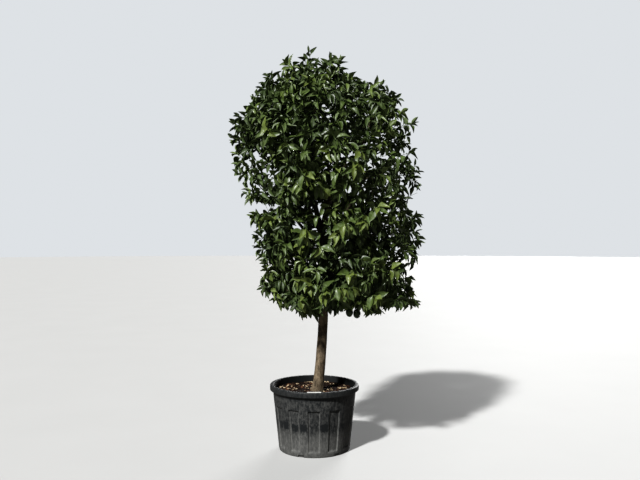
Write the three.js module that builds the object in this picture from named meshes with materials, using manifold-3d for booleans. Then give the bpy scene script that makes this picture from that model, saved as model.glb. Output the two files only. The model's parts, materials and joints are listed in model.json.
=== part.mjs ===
// A bitter orange tree in a fluted nursery pot: a short clear trunk, an upright oval crown of leafy shoots,
// moist potting mix up to the rim and a blank white label on it. It stands on the flat underside of the pot.
// Millimetres. X is to the right, -Y is towards the viewer, Z is up, and the origin is under the pot's middle.
import * as THREE from "three";
import { mergeVertices } from "three/addons/utils/BufferGeometryUtils.js";
import Module from "manifold-3d";

const wasm = await Module();
wasm.setup();
const { Manifold, Mesh: SolidMesh } = wasm;

// Pot, soil and label
const CLEARANCE = 0.35;
const POT_HEIGHT = 450;
const POT_FOOT_RADIUS = 248;
const POT_NECK_RADIUS = 292;
const POT_WALL = 7;
const POT_FLOOR = 9;
const FOOT_BEVEL = 6;
const RIM_RADIUS = 312;
const RIM_WIDTH = 26;
const RIM_DROP = 36;
const RIM_ROUNDING = 7;
const FLUTE_COUNT = 12;
const FLUTE_ANGLE = 15;
const FLUTE_SIDE_ANGLE = 1.2;
const FLUTE_DEPTH = 8;
const FLUTE_LOW = 34;
const FLUTE_HIGH = 318;
const DRAIN_COUNT = 6;
const DRAIN_ANGLE = 9;
const DRAIN_WIDTH = 40;
const DRAIN_HEIGHT = 13;
const DRAIN_DEPTH = 7;
const SOIL_LEVEL = 408;
const LABEL_WIDTH = 92;
const LABEL_DEPTH = 17;
const LABEL_THICKNESS = 2.5;

// Trunk, whose line is a curve from the soil to the fork that bows towards a third point
const TRUNK_FOOT = new THREE.Vector3(20, -54, SOIL_LEVEL + CLEARANCE);
const TRUNK_BOW = new THREE.Vector3(92, -14, 960);
const TRUNK_FORK = new THREE.Vector3(48, 4, 1540);
const TRUNK_RADIUS = 36;
const FORK_RADIUS = 29;
const ROOT_FLARE = 8;
const FLARE_SHARE = 0.036;

// The crown's reach to the left and right of the pot's middle, by height
const CROWN_PROFILE = [
  { z: 2840, left: -60, right: -10 },
  { z: 2765, left: -235, right: 200 },
  { z: 2690, left: -300, right: 290 },
  { z: 2600, left: -390, right: 500 },
  { z: 2460, left: -520, right: 665 },
  { z: 2300, left: -600, right: 740 },
  { z: 2090, left: -615, right: 765 },
  { z: 1880, left: -560, right: 780 },
  { z: 1640, left: -480, right: 770 },
  { z: 1440, left: -445, right: 765 },
  { z: 1240, left: -400, right: 700 },
  { z: 1090, left: -415, right: 740 },
  { z: 985, left: -260, right: 740 },
  { z: 925, left: -150, right: 420 },
  { z: 880, left: -60, right: 110 },
];

// Leaf tips that stand out in the crown's outline
const OUTLINE_TIPS = [
  { x: -46, z: 2832 },
  { x: -208, z: 2768 },
  { x: 187, z: 2768 },
  { x: 504, z: 2594 },
  { x: -370, z: 2618 },
  { x: -560, z: 2408 },
  { x: 658, z: 2478 },
  { x: 742, z: 2300 },
  { x: -609, z: 2092 },
  { x: 775, z: 2020 },
  { x: -572, z: 1950 },
  { x: 778, z: 1858 },
  { x: -474, z: 1634 },
  { x: 770, z: 1494 },
  { x: -412, z: 1106 },
  { x: 745, z: 1004 },
  { x: 20, z: 905 },
];

// Openings through the crown, as they are seen from eye height in front of the pot
const EYE_DISTANCE = 4860;
const EYE_HEIGHT = 1460;
const WINDOWS = [
  { name: "notch in the left side", x: -400, z: 1718, width: 260, height: 56 },
  { name: "gap beside the trunk", x: -115, z: 1560, width: 130, height: 90 },
];

// Tiers of the crown. Each mass of foliage has its own bough, which leaves the trunk or the nearest leader
// at a share of its length. The boughs of the first tier are the leaders, which carry on the trunk.
const TIERS = [
  { name: "top", z: 2590, count: 2, angle: 345, spread: 0.4, from: 0.985, stagger: 0, radius: 20, sway: 75 },
  { name: "shoulder", z: 2290, count: 5, angle: 270, spread: 0.58, from: 0.36, stagger: 0.18, radius: 13, sway: 75 },
  { name: "upper", z: 1890, count: 5, angle: 236, spread: 0.62, from: 0.97, stagger: 0.13, radius: 15, sway: 75 },
  { name: "lower", z: 1480, count: 5, angle: 270, spread: 0.6, from: 0.8, stagger: 0.11, radius: 13, sway: 75 },
  { name: "skirt", z: 1125, count: 5, angle: 250, spread: 0.6, from: 0.62, stagger: 0.1, radius: 12, sway: 30 },
];
const BOUGH_TAPER = 0.5;
const BOUGH_DEEPEST = 150;
const LIMB_MARGIN = 4;

// Shoots and leaves. Leaves are fewer than on the tree, and twice as long. Low in the crown the twigs arch over
// and the leaves hang, and in its top both stand up, which the droop and the arch give as shares of their length.
const HANGING = { z: 1000, droop: 0.6, arch: 0.14 };
const UPRIGHT = { z: 2700, droop: 0.15, arch: -0.12 };
const SHOOT_COUNT = 102;
const SHOOTS_PER_MASS = 5;
const SHOOT_SPACING = 240;
const STEM_LENGTH = 55;
const TWIG_RADIUS = 3.2;
const LEAVES_PER_SHOOT = 5;
const LEAF_LENGTH = 186;
const LEAF_WIDTH = 102;
const LEAF_FOLD = 5;
const LEAF_SPACING = 30;
const LEAF_TURN = 137.5;
const LEAF_TRIES = 7;
const END_LEAF_LEAN = 14;
const SIDE_LEAF_LEAN = 40;
const LEAN_STEP = 13;

// Unripe fruit, by their middles, which hang low at the front
const FRUIT_RADIUS = 25;
const FRUIT_STRETCH = 1.3;
const STALK_LENGTH = 45;
const STALK_RADIUS = 2.4;
const FRUIT_PLACES = [
  { x: 238, y: -190, z: 972 },
  { x: 290, y: -168, z: 960 },
  { x: 141, y: -200, z: 1012 },
];

const UP = new THREE.Vector3(0, 0, 1);
const vec = (x, y, z) => new THREE.Vector3(x, y, z);
const radians = THREE.MathUtils.degToRad;
const mix = THREE.MathUtils.lerp;

// Seeded random numbers from 0 to 1
function dice(seed) {
  let state = seed >>> 0;
  return () => {
    state = (state + 0x6d2b79f5) >>> 0;
    let t = Math.imul(state ^ (state >>> 15), 1 | state);
    t = (t + Math.imul(t ^ (t >>> 7), 61 | t)) ^ t;
    return ((t ^ (t >>> 14)) >>> 0) / 4294967296;
  };
}

// The point at share t of a curve that bows from its start towards a third point
function curvePoint({ start, bow, end }, t) {
  const s = 1 - t;
  return start
    .clone()
    .multiplyScalar(s * s)
    .addScaledVector(bow, 2 * s * t)
    .addScaledVector(end, t * t);
}

// Closed geometries as solids, and solids as geometries
function solidOf(geometry) {
  const bare = geometry.clone();
  bare.deleteAttribute("normal");
  bare.deleteAttribute("uv");
  const merged = mergeVertices(bare, 1e-4);
  return new Manifold(
    new SolidMesh({
      numProp: 3,
      vertProperties: merged.attributes.position.array,
      triVerts: new Uint32Array(merged.index.array),
    }),
  );
}

function geometryOf(solid) {
  const mesh = solid.getMesh();
  const positions = new Float32Array(mesh.numVert * 3);
  for (let i = 0; i < mesh.numVert; i++)
    positions.set(mesh.vertProperties.subarray(i * mesh.numProp, i * mesh.numProp + 3), i * 3);
  return new THREE.BufferGeometry()
    .setAttribute("position", new THREE.BufferAttribute(positions, 3))
    .setIndex(new THREE.BufferAttribute(mesh.triVerts, 1));
}

function fromTriangles(points, faces) {
  return new THREE.BufferGeometry()
    .setAttribute("position", new THREE.Float32BufferAttribute(points.flatMap((p) => p.toArray()), 3))
    .setIndex(faces.flat());
}

// A closed skin over rings of equal size, each counter-clockwise about the way from the first to the last
function skinOf(rings) {
  const sides = rings[0].length;
  const faces = [];
  for (let ring = 0; ring + 1 < rings.length; ring++)
    for (let side = 0; side < sides; side++) {
      const a = ring * sides + side;
      const b = ring * sides + ((side + 1) % sides);
      faces.push([a, b, b + sides], [a, b + sides, a + sides]);
    }
  const last = (rings.length - 1) * sides;
  for (let side = 1; side + 1 < sides; side++)
    faces.push([0, side + 1, side], [last, last + side, last + side + 1]);
  return fromTriangles(rings.flat(), faces);
}

// A tapering limb with flat ends along a line of points. A level foot lies flat on the ground.
function limbGeometry(line, radii, sides, levelFoot = false) {
  const rings = line.map((point, i) => {
    const before = line[Math.max(i - 1, 0)];
    const after = line[Math.min(i + 1, line.length - 1)];
    const along = after.clone().sub(before).normalize();
    const across = vec(0, -1, 0).cross(along);
    if (across.lengthSq() < 0.05) across.copy(vec(1, 0, 0).cross(along));
    across.normalize();
    const other = along.clone().cross(across);
    return Array.from({ length: sides }, (_, k) => {
      const turn = (2 * Math.PI * k) / sides;
      return point
        .clone()
        .addScaledVector(across, radii[i] * Math.cos(turn))
        .addScaledVector(other, radii[i] * Math.sin(turn));
    });
  });
  if (levelFoot) rings[0].forEach((p) => (p.z = line[0].z));
  return skinOf(rings);
}

// The crown is round at each height. Its shell is 0 in its heart and 1 on its surface.
const CROWN_MIDDLE = (CROWN_PROFILE[0].z + CROWN_PROFILE.at(-1).z) / 2;
const CROWN_HALF_HEIGHT = (CROWN_PROFILE[0].z - CROWN_PROFILE.at(-1).z) / 2;

function crownAt(z) {
  const rows = CROWN_PROFILE;
  if (z >= rows[0].z || z <= rows.at(-1).z) return null;
  const i = rows.findIndex((row) => row.z < z);
  const t = (z - rows[i].z) / (rows[i - 1].z - rows[i].z);
  const left = mix(rows[i].left, rows[i - 1].left, t);
  const right = mix(rows[i].right, rows[i - 1].right, t);
  return { middle: (left + right) / 2, radius: (right - left) / 2 };
}

function shellAt(p) {
  const crown = crownAt(p.z);
  if (!crown) return Infinity;
  const sideways = Math.hypot(p.x - crown.middle, p.y) / crown.radius;
  return Math.max(sideways, Math.abs(p.z - CROWN_MIDDLE) / CROWN_HALF_HEIGHT);
}

function inWindow(p) {
  const nearer = EYE_DISTANCE / (EYE_DISTANCE + p.y);
  const x = p.x * nearer;
  const z = EYE_HEIGHT + (p.z - EYE_HEIGHT) * nearer;
  return WINDOWS.some((w) => Math.hypot((x - w.x) / (w.width / 2), (z - w.z) / (w.height / 2)) < 1);
}

// Limbs. Each is cut clear of those before it, where it grows out of them.
const limbs = [];

function grownLimb(line, radii, sides, margin) {
  const longer = line.map((p) => p.clone());
  longer[0].addScaledVector(line[0].clone().sub(line[1]).normalize(), margin);
  longer.at(-1).addScaledVector(line.at(-1).clone().sub(line.at(-2)).normalize(), margin);
  return solidOf(limbGeometry(longer, radii.map((r) => r + margin), sides));
}

function addLimb(name, curve, radiusAt, steps, sides) {
  const shares = Array.from({ length: steps + 1 }, (_, i) => i / steps);
  const line = shares.map((t) => curvePoint(curve, t));
  const radii = shares.map(radiusAt);
  let solid = solidOf(limbGeometry(line, radii, sides, limbs.length === 0));
  for (const other of limbs) solid = solid.subtract(other.grown);
  const parts = solid.decompose().sort((a, b) => b.volume() - a.volume());
  const grown = grownLimb(line, radii, sides, CLEARANCE * 1.3);
  const around = grownLimb(line, radii, sides, LIMB_MARGIN);
  const limb = { name, curve, solid: parts[0].simplify(0.02), grown, around };
  limbs.push(limb);
  return limb;
}

const trunk = addLimb(
  "trunk",
  { start: TRUNK_FOOT, bow: TRUNK_BOW, end: TRUNK_FORK },
  (t) => mix(TRUNK_RADIUS, FORK_RADIUS, t) + ROOT_FLARE * Math.exp(-t / FLARE_SHARE),
  12,
  11,
);

// Masses of foliage. Each keeps to the space that is nearer to its middle than to any other's.
const masses = TIERS.flatMap((tier) =>
  Array.from({ length: tier.count }, (_, index) => {
    const crown = crownAt(tier.z);
    const angle = radians(tier.angle + (360 * index) / tier.count);
    const middle = vec(
      crown.middle + Math.cos(angle) * crown.radius * tier.spread,
      Math.sin(angle) * crown.radius * tier.spread,
      tier.z + tier.sway * Math.cos(2.6 * index + tier.z),
    );
    return { name: `${tier.name}_foliage_${index + 1}`, tier, index, middle, tips: [] };
  }),
);

function inOwnSpace(mass, p, margin) {
  return masses.every((other) => {
    if (other === mass) return true;
    const apart = other.middle.distanceTo(mass.middle);
    const nearer = p.distanceToSquared(other.middle) - p.distanceToSquared(mass.middle);
    return nearer / (2 * apart) > margin;
  });
}

// A bough rises from its parent to where it enters its mass, and ends there
function addBough(mass) {
  const { tier, index } = mass;
  const leaders = limbs.slice(1, 1 + TIERS[0].count);
  const distance = (limb) => limb.curve.end.distanceTo(mass.middle);
  const parent = tier.name === "shoulder" ? leaders.reduce((a, b) => (distance(b) < distance(a) ? b : a)) : trunk;
  const share = tier.from - (tier.stagger * ((index * 2) % tier.count)) / tier.count;
  const start = curvePoint(parent.curve, share);
  const inward = start.clone().sub(mass.middle);
  let depth = Math.min(0.3 * inward.length(), BOUGH_DEEPEST);
  inward.normalize();
  while (!inOwnSpace(mass, mass.middle.clone().addScaledVector(inward, depth), 30)) depth -= 10;
  const end = mass.middle.clone().addScaledVector(inward, depth);
  const bow = start.clone().lerp(end, 0.62);
  bow.z = mix(start.z, end.z, 0.34) + 20;
  mass.bough = addLimb(
    `${tier.name}_bough_${index + 1}`,
    { start, bow, end },
    (t) => tier.radius * (mix(1, BOUGH_TAPER, t) + 0.25 * Math.exp(-9 * t)),
    4,
    5,
  );
}

masses.forEach(addBough);

const aroundLimbs = Manifold.union(limbs.map((limb) => limb.around));
const touchesLimb = (solid) => !aroundLimbs.intersect(solid).isEmpty();

function touchesAny(solid, pieces) {
  const box = solid.boundingBox();
  return pieces.some((piece) => {
    const other = piece.boundingBox();
    const apart = [0, 1, 2].some((i) => box.min[i] > other.max[i] || box.max[i] < other.min[i]);
    return !apart && !piece.intersect(solid).isEmpty();
  });
}

// Shoot tips: first those whose leaves make the outline, then others spread evenly, most near the surface
function plantTips(roll) {
  const planted = [];

  function plant(tip, aim = tip) {
    const mass = masses.find((m) => inOwnSpace(m, tip, 30) && inOwnSpace(m, aim, 10));
    if (!mass || inWindow(tip)) return false;
    mass.tips.push({ tip, aim: aim === tip ? null : aim });
    planted.push(tip);
    return true;
  }

  for (const { x, z } of OUTLINE_TIPS) {
    const depth = Math.min(260, 0.8 * crownAt(z).radius);
    for (let tries = 0; tries < 80; tries++) {
      const aim = vec(x, (roll() - 0.5) * depth, z);
      const heart = vec(60, 0, THREE.MathUtils.clamp(z - 420 * roll(), 1250, 2450));
      const inward = heart.sub(aim).normalize();
      const tip = aim.clone().addScaledVector(inward, LEAF_LENGTH * mix(0.85, 1.15, roll()));
      if (shellAt(aim) < 1.04 && plant(tip, aim)) break;
    }
  }

  const hasRoom = (p) => masses.some((m) => m.tips.length < SHOOTS_PER_MASS && inOwnSpace(m, p, 40));
  while (planted.length < SHOOT_COUNT) {
    let best = null;
    for (let found = 0; found < 24; ) {
      const p = vec(mix(-650, 800, roll()), mix(-720, 720, roll()), mix(900, 2800, roll()));
      const crown = crownAt(p.z);
      const depth = crown.radius - Math.hypot(p.x - crown.middle, p.y);
      if (depth < 0.6 * LEAF_LENGTH || shellAt(p) > 0.93) continue;
      found++;
      if (!hasRoom(p) || inWindow(p)) continue;
      const apart = Math.min(SHOOT_SPACING, ...planted.map((tip) => tip.distanceTo(p)));
      const worth = apart * (0.25 + shellAt(p));
      if (!best || worth > best.worth) best = { p, worth };
    }
    if (best) plant(best.p);
  }
}

plantTips(dice(11));

// A leaf of eight faces: six-sided, folded along its middle, its foot sunk in the twig
function leafGeometry(foot, along, face, length, width) {
  const side = face.clone().cross(along).normalize();
  const at = (share, half, lift) =>
    foot
      .clone()
      .addScaledVector(along, length * share)
      .addScaledVector(side, (width / 2) * half)
      .addScaledVector(face, lift);
  const points = [
    foot.clone().addScaledVector(along, -0.2 * TWIG_RADIUS),
    at(0.3, 0.92, LEAF_FOLD),
    at(0.66, 0.88, LEAF_FOLD),
    at(1, 0, -LEAF_FOLD),
    at(0.66, -0.88, LEAF_FOLD),
    at(0.3, -0.92, LEAF_FOLD),
  ];
  const top = [[0, 5, 1], [5, 4, 2], [5, 2, 1], [4, 3, 2]];
  const under = [[0, 1, 3], [1, 2, 3], [0, 3, 5], [3, 4, 5]];
  return { blade: points.slice(1), geometry: fromTriangles(points, [...top, ...under]) };
}

// Twigs branch from the stem at the bough's tip to each shoot tip, and droop low in the crown
function growTwigs(mass) {
  const { bow, end } = mass.bough.curve;
  const stemWay = end.clone().sub(bow).normalize();
  const stemStart = end.clone().addScaledVector(stemWay, CLEARANCE);
  const stemTop = stemStart.clone().addScaledVector(stemWay, STEM_LENGTH);
  const stem = { line: [stemStart, stemTop], carrier: null, load: 0 };
  const joints = [{ p: stemTop.clone().addScaledVector(stemWay, -5), way: stemWay, run: 0, on: stem }];
  const shoots = [];

  mass.tips.sort((a, b) => a.tip.distanceTo(stemTop) - b.tip.distanceTo(stemTop));
  for (const { tip, aim } of mass.tips) {
    const cost = (joint) => {
      const way = tip.clone().sub(joint.p);
      const turned = 1.7 - 0.7 * joint.way.dot(way.clone().normalize());
      return way.length() * turned + 0.2 * joint.run;
    };
    const from = joints.reduce((a, b) => (cost(b) < cost(a) ? b : a));
    const span = tip.distanceTo(from.p);
    const curve = { start: from.p, bow: from.p.clone().lerp(tip, 0.5), end: tip };
    const arch = mix(HANGING.arch, UPRIGHT.arch, mass.height);
    curve.bow.addScaledVector(from.way, 0.12 * span).addScaledVector(UP, arch * span);
    if (!inOwnSpace(mass, curve.bow, 8)) curve.bow.copy(from.p).lerp(tip, 0.5);
    const shares = span > 150 ? [0, 0.5, 1] : [0, 1];
    const line = shares.map((t) => curvePoint(curve, t));
    const thickest = line.map(() => 1.5 * TWIG_RADIUS);
    if (touchesLimb(solidOf(limbGeometry(line, thickest, 3)))) continue;
    const shoot = { line, shares, span, aim, carrier: from.on, load: 0 };
    for (let on = shoot; on; on = on.carrier) on.load++;
    for (let i = 1; i < line.length; i++) {
      const way = line[i].clone().sub(line[i - 1]).normalize();
      joints.push({ p: line[i].clone().addScaledVector(way, -3), way, run: from.run + span * shares[i], on: shoot });
    }
    shoots.push(shoot);
  }

  const thickness = ({ load }) => TWIG_RADIUS * (0.78 + 0.34 * Math.sqrt(Math.max(load, 1)));
  const solids = [stem, ...shoots].map((twig) => {
    const foot = twig.carrier ? Math.min(thickness(twig), 0.8 * thickness(twig.carrier)) : thickness(twig);
    const tip = twig.load > 1 ? 0.85 * foot : 0.8 * TWIG_RADIUS;
    const radii = twig.line.map((_, i) => mix(foot, tip, i / (twig.line.length - 1)));
    return solidOf(limbGeometry(twig.line, radii, 3));
  });
  return { shoots, joints, solids };
}

// Fruit that hang in this mass, each on a stalk from the nearest joint
function hangFruit(mass, joints) {
  const places = FRUIT_PLACES.map(({ x, y, z }) => vec(x, y, z));
  return places
    .filter((place) => inOwnSpace(mass, place, FRUIT_RADIUS))
    .flatMap((place) => {
      const top = place.clone().addScaledVector(UP, FRUIT_RADIUS * FRUIT_STRETCH);
      const above = top.clone().addScaledVector(UP, STALK_LENGTH);
      const from = joints.reduce((a, b) => (b.p.distanceTo(above) < a.p.distanceTo(above) ? b : a));
      const line = [from.p, above, top.clone().addScaledVector(UP, -8)];
      const fruit = new THREE.OctahedronGeometry(FRUIT_RADIUS, 1).scale(1, 1, FRUIT_STRETCH);
      fruit.translate(place.x, place.y, place.z);
      return [solidOf(limbGeometry(line, line.map(() => STALK_RADIUS), 3)), solidOf(fruit)];
    });
}

// Leaves stand round the end of each shoot. One that would leave the mass's space or touch anything is turned,
// and left out if that doesn't help.
function addLeaves(mass, shoot, pieces, roll) {
  const pointAt = (t) => {
    const { line, shares } = shoot;
    const i = shares.findIndex((share) => share >= t);
    return line[i - 1].clone().lerp(line[i], (t - shares[i - 1]) / (shares[i] - shares[i - 1]));
  };
  const firstTurn = roll() * 360;
  for (let k = 0; k < LEAVES_PER_SHOOT; k++) {
    const t = 1 - (k * LEAF_SPACING + 5) / shoot.span;
    if (t < 0.12) continue;
    const foot = pointAt(t);
    const way = foot.clone().sub(pointAt(t - 0.05)).normalize();
    const lean = radians(k === 0 ? END_LEAF_LEAN : SIDE_LEAF_LEAN + LEAN_STEP * k);
    const outward = vec(foot.x - TRUNK_BOW.x, foot.y, 0).normalize();
    for (let turn = 0; turn < LEAF_TRIES; turn++) {
      const across = vec(way.y, -way.x, 0.01).normalize();
      across.applyAxisAngle(way, radians(firstTurn + LEAF_TURN * k + 50 * turn));
      let along = way.clone().multiplyScalar(Math.cos(lean)).addScaledVector(across, Math.sin(lean));
      along.addScaledVector(UP, -mix(HANGING.droop, UPRIGHT.droop, mass.height)).normalize();
      let length = LEAF_LENGTH * mix(0.86, 1.04, roll());
      if (shoot.aim && k === 0 && turn === 0) {
        along = shoot.aim.clone().sub(foot);
        length = Math.min(along.length(), 1.3 * LEAF_LENGTH);
        along.normalize();
      }
      const face = UP.clone().multiplyScalar(0.6).addScaledVector(outward, 0.8);
      face.addScaledVector(along, -face.dot(along)).normalize();
      face.applyAxisAngle(along, radians(90 * (roll() - 0.5)));
      const width = LEAF_WIDTH * mix(0.9, 1.08, roll());
      const { blade, geometry } = leafGeometry(foot, along, face, length, width);
      if (blade.some((p) => !inOwnSpace(mass, p, 1) || inWindow(p) || shellAt(p) > 1.05)) continue;
      const leaf = solidOf(geometry);
      const clear = leafGeometry(foot.clone().addScaledVector(along, 14), along, face, length - 16, width);
      if (touchesLimb(leaf) || touchesAny(solidOf(clear.geometry), pieces)) continue;
      pieces.push(leaf);
      break;
    }
  }
}

function growMass(mass, seed) {
  const roll = dice(seed);
  mass.height = THREE.MathUtils.clamp((mass.middle.z - HANGING.z) / (UPRIGHT.z - HANGING.z), 0, 1);
  const { shoots, joints, solids } = growTwigs(mass);
  const pieces = [...solids, ...hangFruit(mass, joints)];
  for (const shoot of shoots) addLeaves(mass, shoot, pieces, roll);
  const bodies = Manifold.union(pieces).simplify(0.02).decompose();
  return bodies.sort((a, b) => b.volume() - a.volume())[0];
}

// The pot is round with flutes let into its wall
const FLUTE_EDGES = Array.from({ length: FLUTE_COUNT }, (_, i) => {
  const middle = (360 / FLUTE_COUNT) * i;
  const half = FLUTE_ANGLE / 2;
  return [
    { angle: middle - half - FLUTE_SIDE_ANGLE, sunk: 0 },
    { angle: middle - half, sunk: FLUTE_DEPTH },
    { angle: middle + half, sunk: FLUTE_DEPTH },
    { angle: middle + half + FLUTE_SIDE_ANGLE, sunk: 0 },
  ];
}).flat();

function potRing(z, radius, fluted = false) {
  return FLUTE_EDGES.map(({ angle, sunk }) => {
    const r = radius - (fluted ? sunk : 0);
    return vec(r * Math.cos(radians(angle)), r * Math.sin(radians(angle)), z);
  });
}

const RIM_LOW = POT_HEIGHT - RIM_DROP;
const INNER_TOP = POT_HEIGHT - 10;
const wallRadius = (z) => mix(POT_FOOT_RADIUS, POT_NECK_RADIUS, z / RIM_LOW);

function innerRadius(z) {
  const low = POT_FOOT_RADIUS - FLUTE_DEPTH - POT_WALL;
  return mix(low, POT_NECK_RADIUS - POT_WALL, (z - POT_FLOOR) / (INNER_TOP - POT_FLOOR));
}

function potSolid() {
  const shell = skinOf([
    potRing(0, POT_FOOT_RADIUS - FOOT_BEVEL),
    potRing(FOOT_BEVEL, wallRadius(FOOT_BEVEL)),
    potRing(FLUTE_LOW, wallRadius(FLUTE_LOW)),
    potRing(FLUTE_LOW + FLUTE_DEPTH, wallRadius(FLUTE_LOW + FLUTE_DEPTH), true),
    potRing(FLUTE_HIGH - 2, wallRadius(FLUTE_HIGH), true),
    potRing(FLUTE_HIGH, wallRadius(FLUTE_HIGH)),
    potRing(RIM_LOW, POT_NECK_RADIUS),
    potRing(RIM_LOW, RIM_RADIUS - 3),
    potRing(RIM_LOW + RIM_ROUNDING, RIM_RADIUS),
    potRing(POT_HEIGHT - RIM_ROUNDING, RIM_RADIUS),
    potRing(POT_HEIGHT, RIM_RADIUS - RIM_ROUNDING),
    potRing(POT_HEIGHT, RIM_RADIUS - RIM_WIDTH),
    potRing(INNER_TOP, innerRadius(INNER_TOP)),
    potRing(POT_FLOOR, innerRadius(POT_FLOOR)),
  ]);
  let pot = solidOf(shell);
  for (let i = 0; i < DRAIN_COUNT; i++) {
    const drain = new THREE.BoxGeometry(2 * DRAIN_DEPTH, DRAIN_WIDTH, 2 * DRAIN_HEIGHT);
    drain.translate(POT_FOOT_RADIUS, 0, 0).rotateZ(radians(DRAIN_ANGLE + (360 / DRAIN_COUNT) * i));
    pot = pot.subtract(solidOf(drain));
  }
  return pot;
}

function soilGeometry() {
  const low = POT_FLOOR + CLEARANCE;
  return skinOf([
    potRing(low, innerRadius(low) - CLEARANCE),
    potRing(SOIL_LEVEL, innerRadius(SOIL_LEVEL) - CLEARANCE),
  ]);
}

// The label lies on the rim's flat top, at the front
function labelGeometry() {
  const radius = RIM_RADIUS - (RIM_WIDTH + RIM_ROUNDING) / 2;
  const half = LABEL_WIDTH / 2 / radius;
  const front = -Math.PI / 2;
  const outline = new THREE.Shape();
  outline.absarc(0, 0, radius + LABEL_DEPTH / 2, front - half, front + half, false);
  outline.absarc(0, 0, radius - LABEL_DEPTH / 2, front + half, front - half, true);
  const strip = { depth: LABEL_THICKNESS, bevelEnabled: false, curveSegments: 5 };
  return new THREE.ExtrudeGeometry(outline, strip).translate(0, 0, POT_HEIGHT + CLEARANCE);
}

// The assembly
const BARK = { color: 0x6f6350, roughness: 0.85, metalness: 0 };
const FOLIAGE = { color: 0x2f4a1c, roughness: 0.45, metalness: 0 };
const PLASTIC = { color: 0x3a3d3d, roughness: 0.6, metalness: 0 };
const POTTING_MIX = { color: 0x4b3022, roughness: 0.95, metalness: 0 };
const WHITE = { color: 0xe9e9e6, roughness: 0.5, metalness: 0 };

const tree = new THREE.Group();

function add(name, geometry, look) {
  const mesh = new THREE.Mesh(geometry, new THREE.MeshStandardMaterial(look));
  mesh.name = name;
  tree.add(mesh);
}

add("pot", geometryOf(potSolid()), PLASTIC);
add("soil", soilGeometry(), POTTING_MIX);
add("rim_label", labelGeometry(), WHITE);
for (const limb of limbs) add(limb.name, geometryOf(limb.solid), BARK);
masses.forEach((mass, i) => add(mass.name, geometryOf(growMass(mass, 101 + 17 * i)), FOLIAGE));

export default tree;
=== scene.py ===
import json
import math
import random

import bpy
import numpy as np
from mathutils import Matrix, Vector, noise

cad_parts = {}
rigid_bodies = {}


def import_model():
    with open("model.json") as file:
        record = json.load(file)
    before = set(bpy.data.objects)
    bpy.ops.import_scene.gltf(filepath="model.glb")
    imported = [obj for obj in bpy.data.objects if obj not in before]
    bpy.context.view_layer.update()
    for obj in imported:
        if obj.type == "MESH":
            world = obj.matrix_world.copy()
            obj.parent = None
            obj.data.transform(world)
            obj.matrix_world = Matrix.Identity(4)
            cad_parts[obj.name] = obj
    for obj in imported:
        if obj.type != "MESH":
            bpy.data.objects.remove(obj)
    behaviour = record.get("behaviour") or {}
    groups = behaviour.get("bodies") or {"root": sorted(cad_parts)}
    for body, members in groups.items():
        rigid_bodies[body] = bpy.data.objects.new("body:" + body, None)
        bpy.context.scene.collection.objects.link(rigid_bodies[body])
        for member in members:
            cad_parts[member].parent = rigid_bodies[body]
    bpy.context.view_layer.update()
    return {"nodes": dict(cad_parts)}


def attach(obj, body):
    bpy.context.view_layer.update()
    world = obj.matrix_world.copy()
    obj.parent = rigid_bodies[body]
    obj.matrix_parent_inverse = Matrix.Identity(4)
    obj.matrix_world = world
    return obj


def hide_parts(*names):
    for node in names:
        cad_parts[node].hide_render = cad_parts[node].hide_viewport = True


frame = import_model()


# The pot is a black polypropylene nursery container, injection moulded in one piece: a tapered wall with
# twelve shallow flutes let into it, a smooth band above them and an overhanging rolled rim to lift it by.
# Six slots in its foot let water out. Dust has settled on it, and hands have wiped some of it off.
POT_HEIGHT = 0.450
POT_FOOT_RADIUS = 0.248
POT_NECK_RADIUS = 0.292
POT_WALL = 0.007
POT_FLOOR = 0.009
INNER_TOP = POT_HEIGHT - 0.010
FOOT_ROUNDING = 0.006
RIM_RADIUS = 0.312
RIM_WIDTH = 0.026
RIM_LOW = POT_HEIGHT - 0.036
RIM_ROUNDING = 0.007
RIM_CORNER = 0.003
INNER_CORNER = 0.004
FLUTE_COUNT = 12
FLUTE_HALF_ANGLE = 7.5
FLUTE_SIDE_ANGLE = 1.2
FLUTE_DEPTH = 0.008
FLUTE_LOW = 0.034
FLUTE_HIGH = 0.318
DRAIN_COUNT = 6
DRAIN_ANGLE = 9
DRAIN_SIZE = (0.014, 0.040, 0.026)
POT_BLACK = (0.013, 0.015, 0.016, 1)
# The inside's darker black is painted shade, not the plastic's own colour.
POT_INSIDE_SHADE = (0.004, 0.005, 0.005, 1)
POT_DUST = (0.175, 0.174, 0.164, 1)
# The height of the wiped patches, how much it varies and how much of the dust is gone from them
WIPED_HEIGHT = 0.188
WIPED_RISE = 0.020
WIPED_SHARE = 0.50
# How thickly dust lies on the whole wall, along the flutes' edges and on the foot
WALL_DUST = 0.17
EDGE_DUST = 0.34
FOOT_DUST = 0.40


def mix(a, b, share):
    return a + (b - a) * share


def clamped(value):
    """The value, kept from 0 to 1."""
    return min(max(value, 0), 1)


def smooth_step(low, high, value):
    share = clamped((value - low) / (high - low))
    return share * share * (3 - 2 * share)


def polar(radius, angle, z=0.0):
    """The point at a radius and an angle about the Z axis."""
    return radius * math.cos(angle), radius * math.sin(angle), z


def add_object(name, data):
    made = bpy.data.objects.new(name, data)
    bpy.context.collection.objects.link(made)
    return made


def add_mesh(name, points, faces, smooth=True):
    """A mesh object at the origin, from points and faces."""
    mesh = bpy.data.meshes.new(name)
    mesh.from_pydata([tuple(p) for p in points], [], faces)
    mesh.polygons.foreach_set("use_smooth", [smooth] * len(mesh.polygons))
    mesh.update()
    return add_object(name, mesh)


def skin_faces(ring_count, sides, first=0):
    """Quads between rings of equal size, counter-clockwise about the way to the next, and two end caps."""
    faces = []
    for ring in range(ring_count - 1):
        for side in range(sides):
            a = ring * sides + side
            b = ring * sides + (side + 1) % sides
            faces.append((a, b, b + sides, a + sides))
    last = (ring_count - 1) * sides
    faces.append(tuple(range(sides - 1, -1, -1)))
    faces.append(tuple(range(last, last + sides)))
    return shifted(faces, first)


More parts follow.
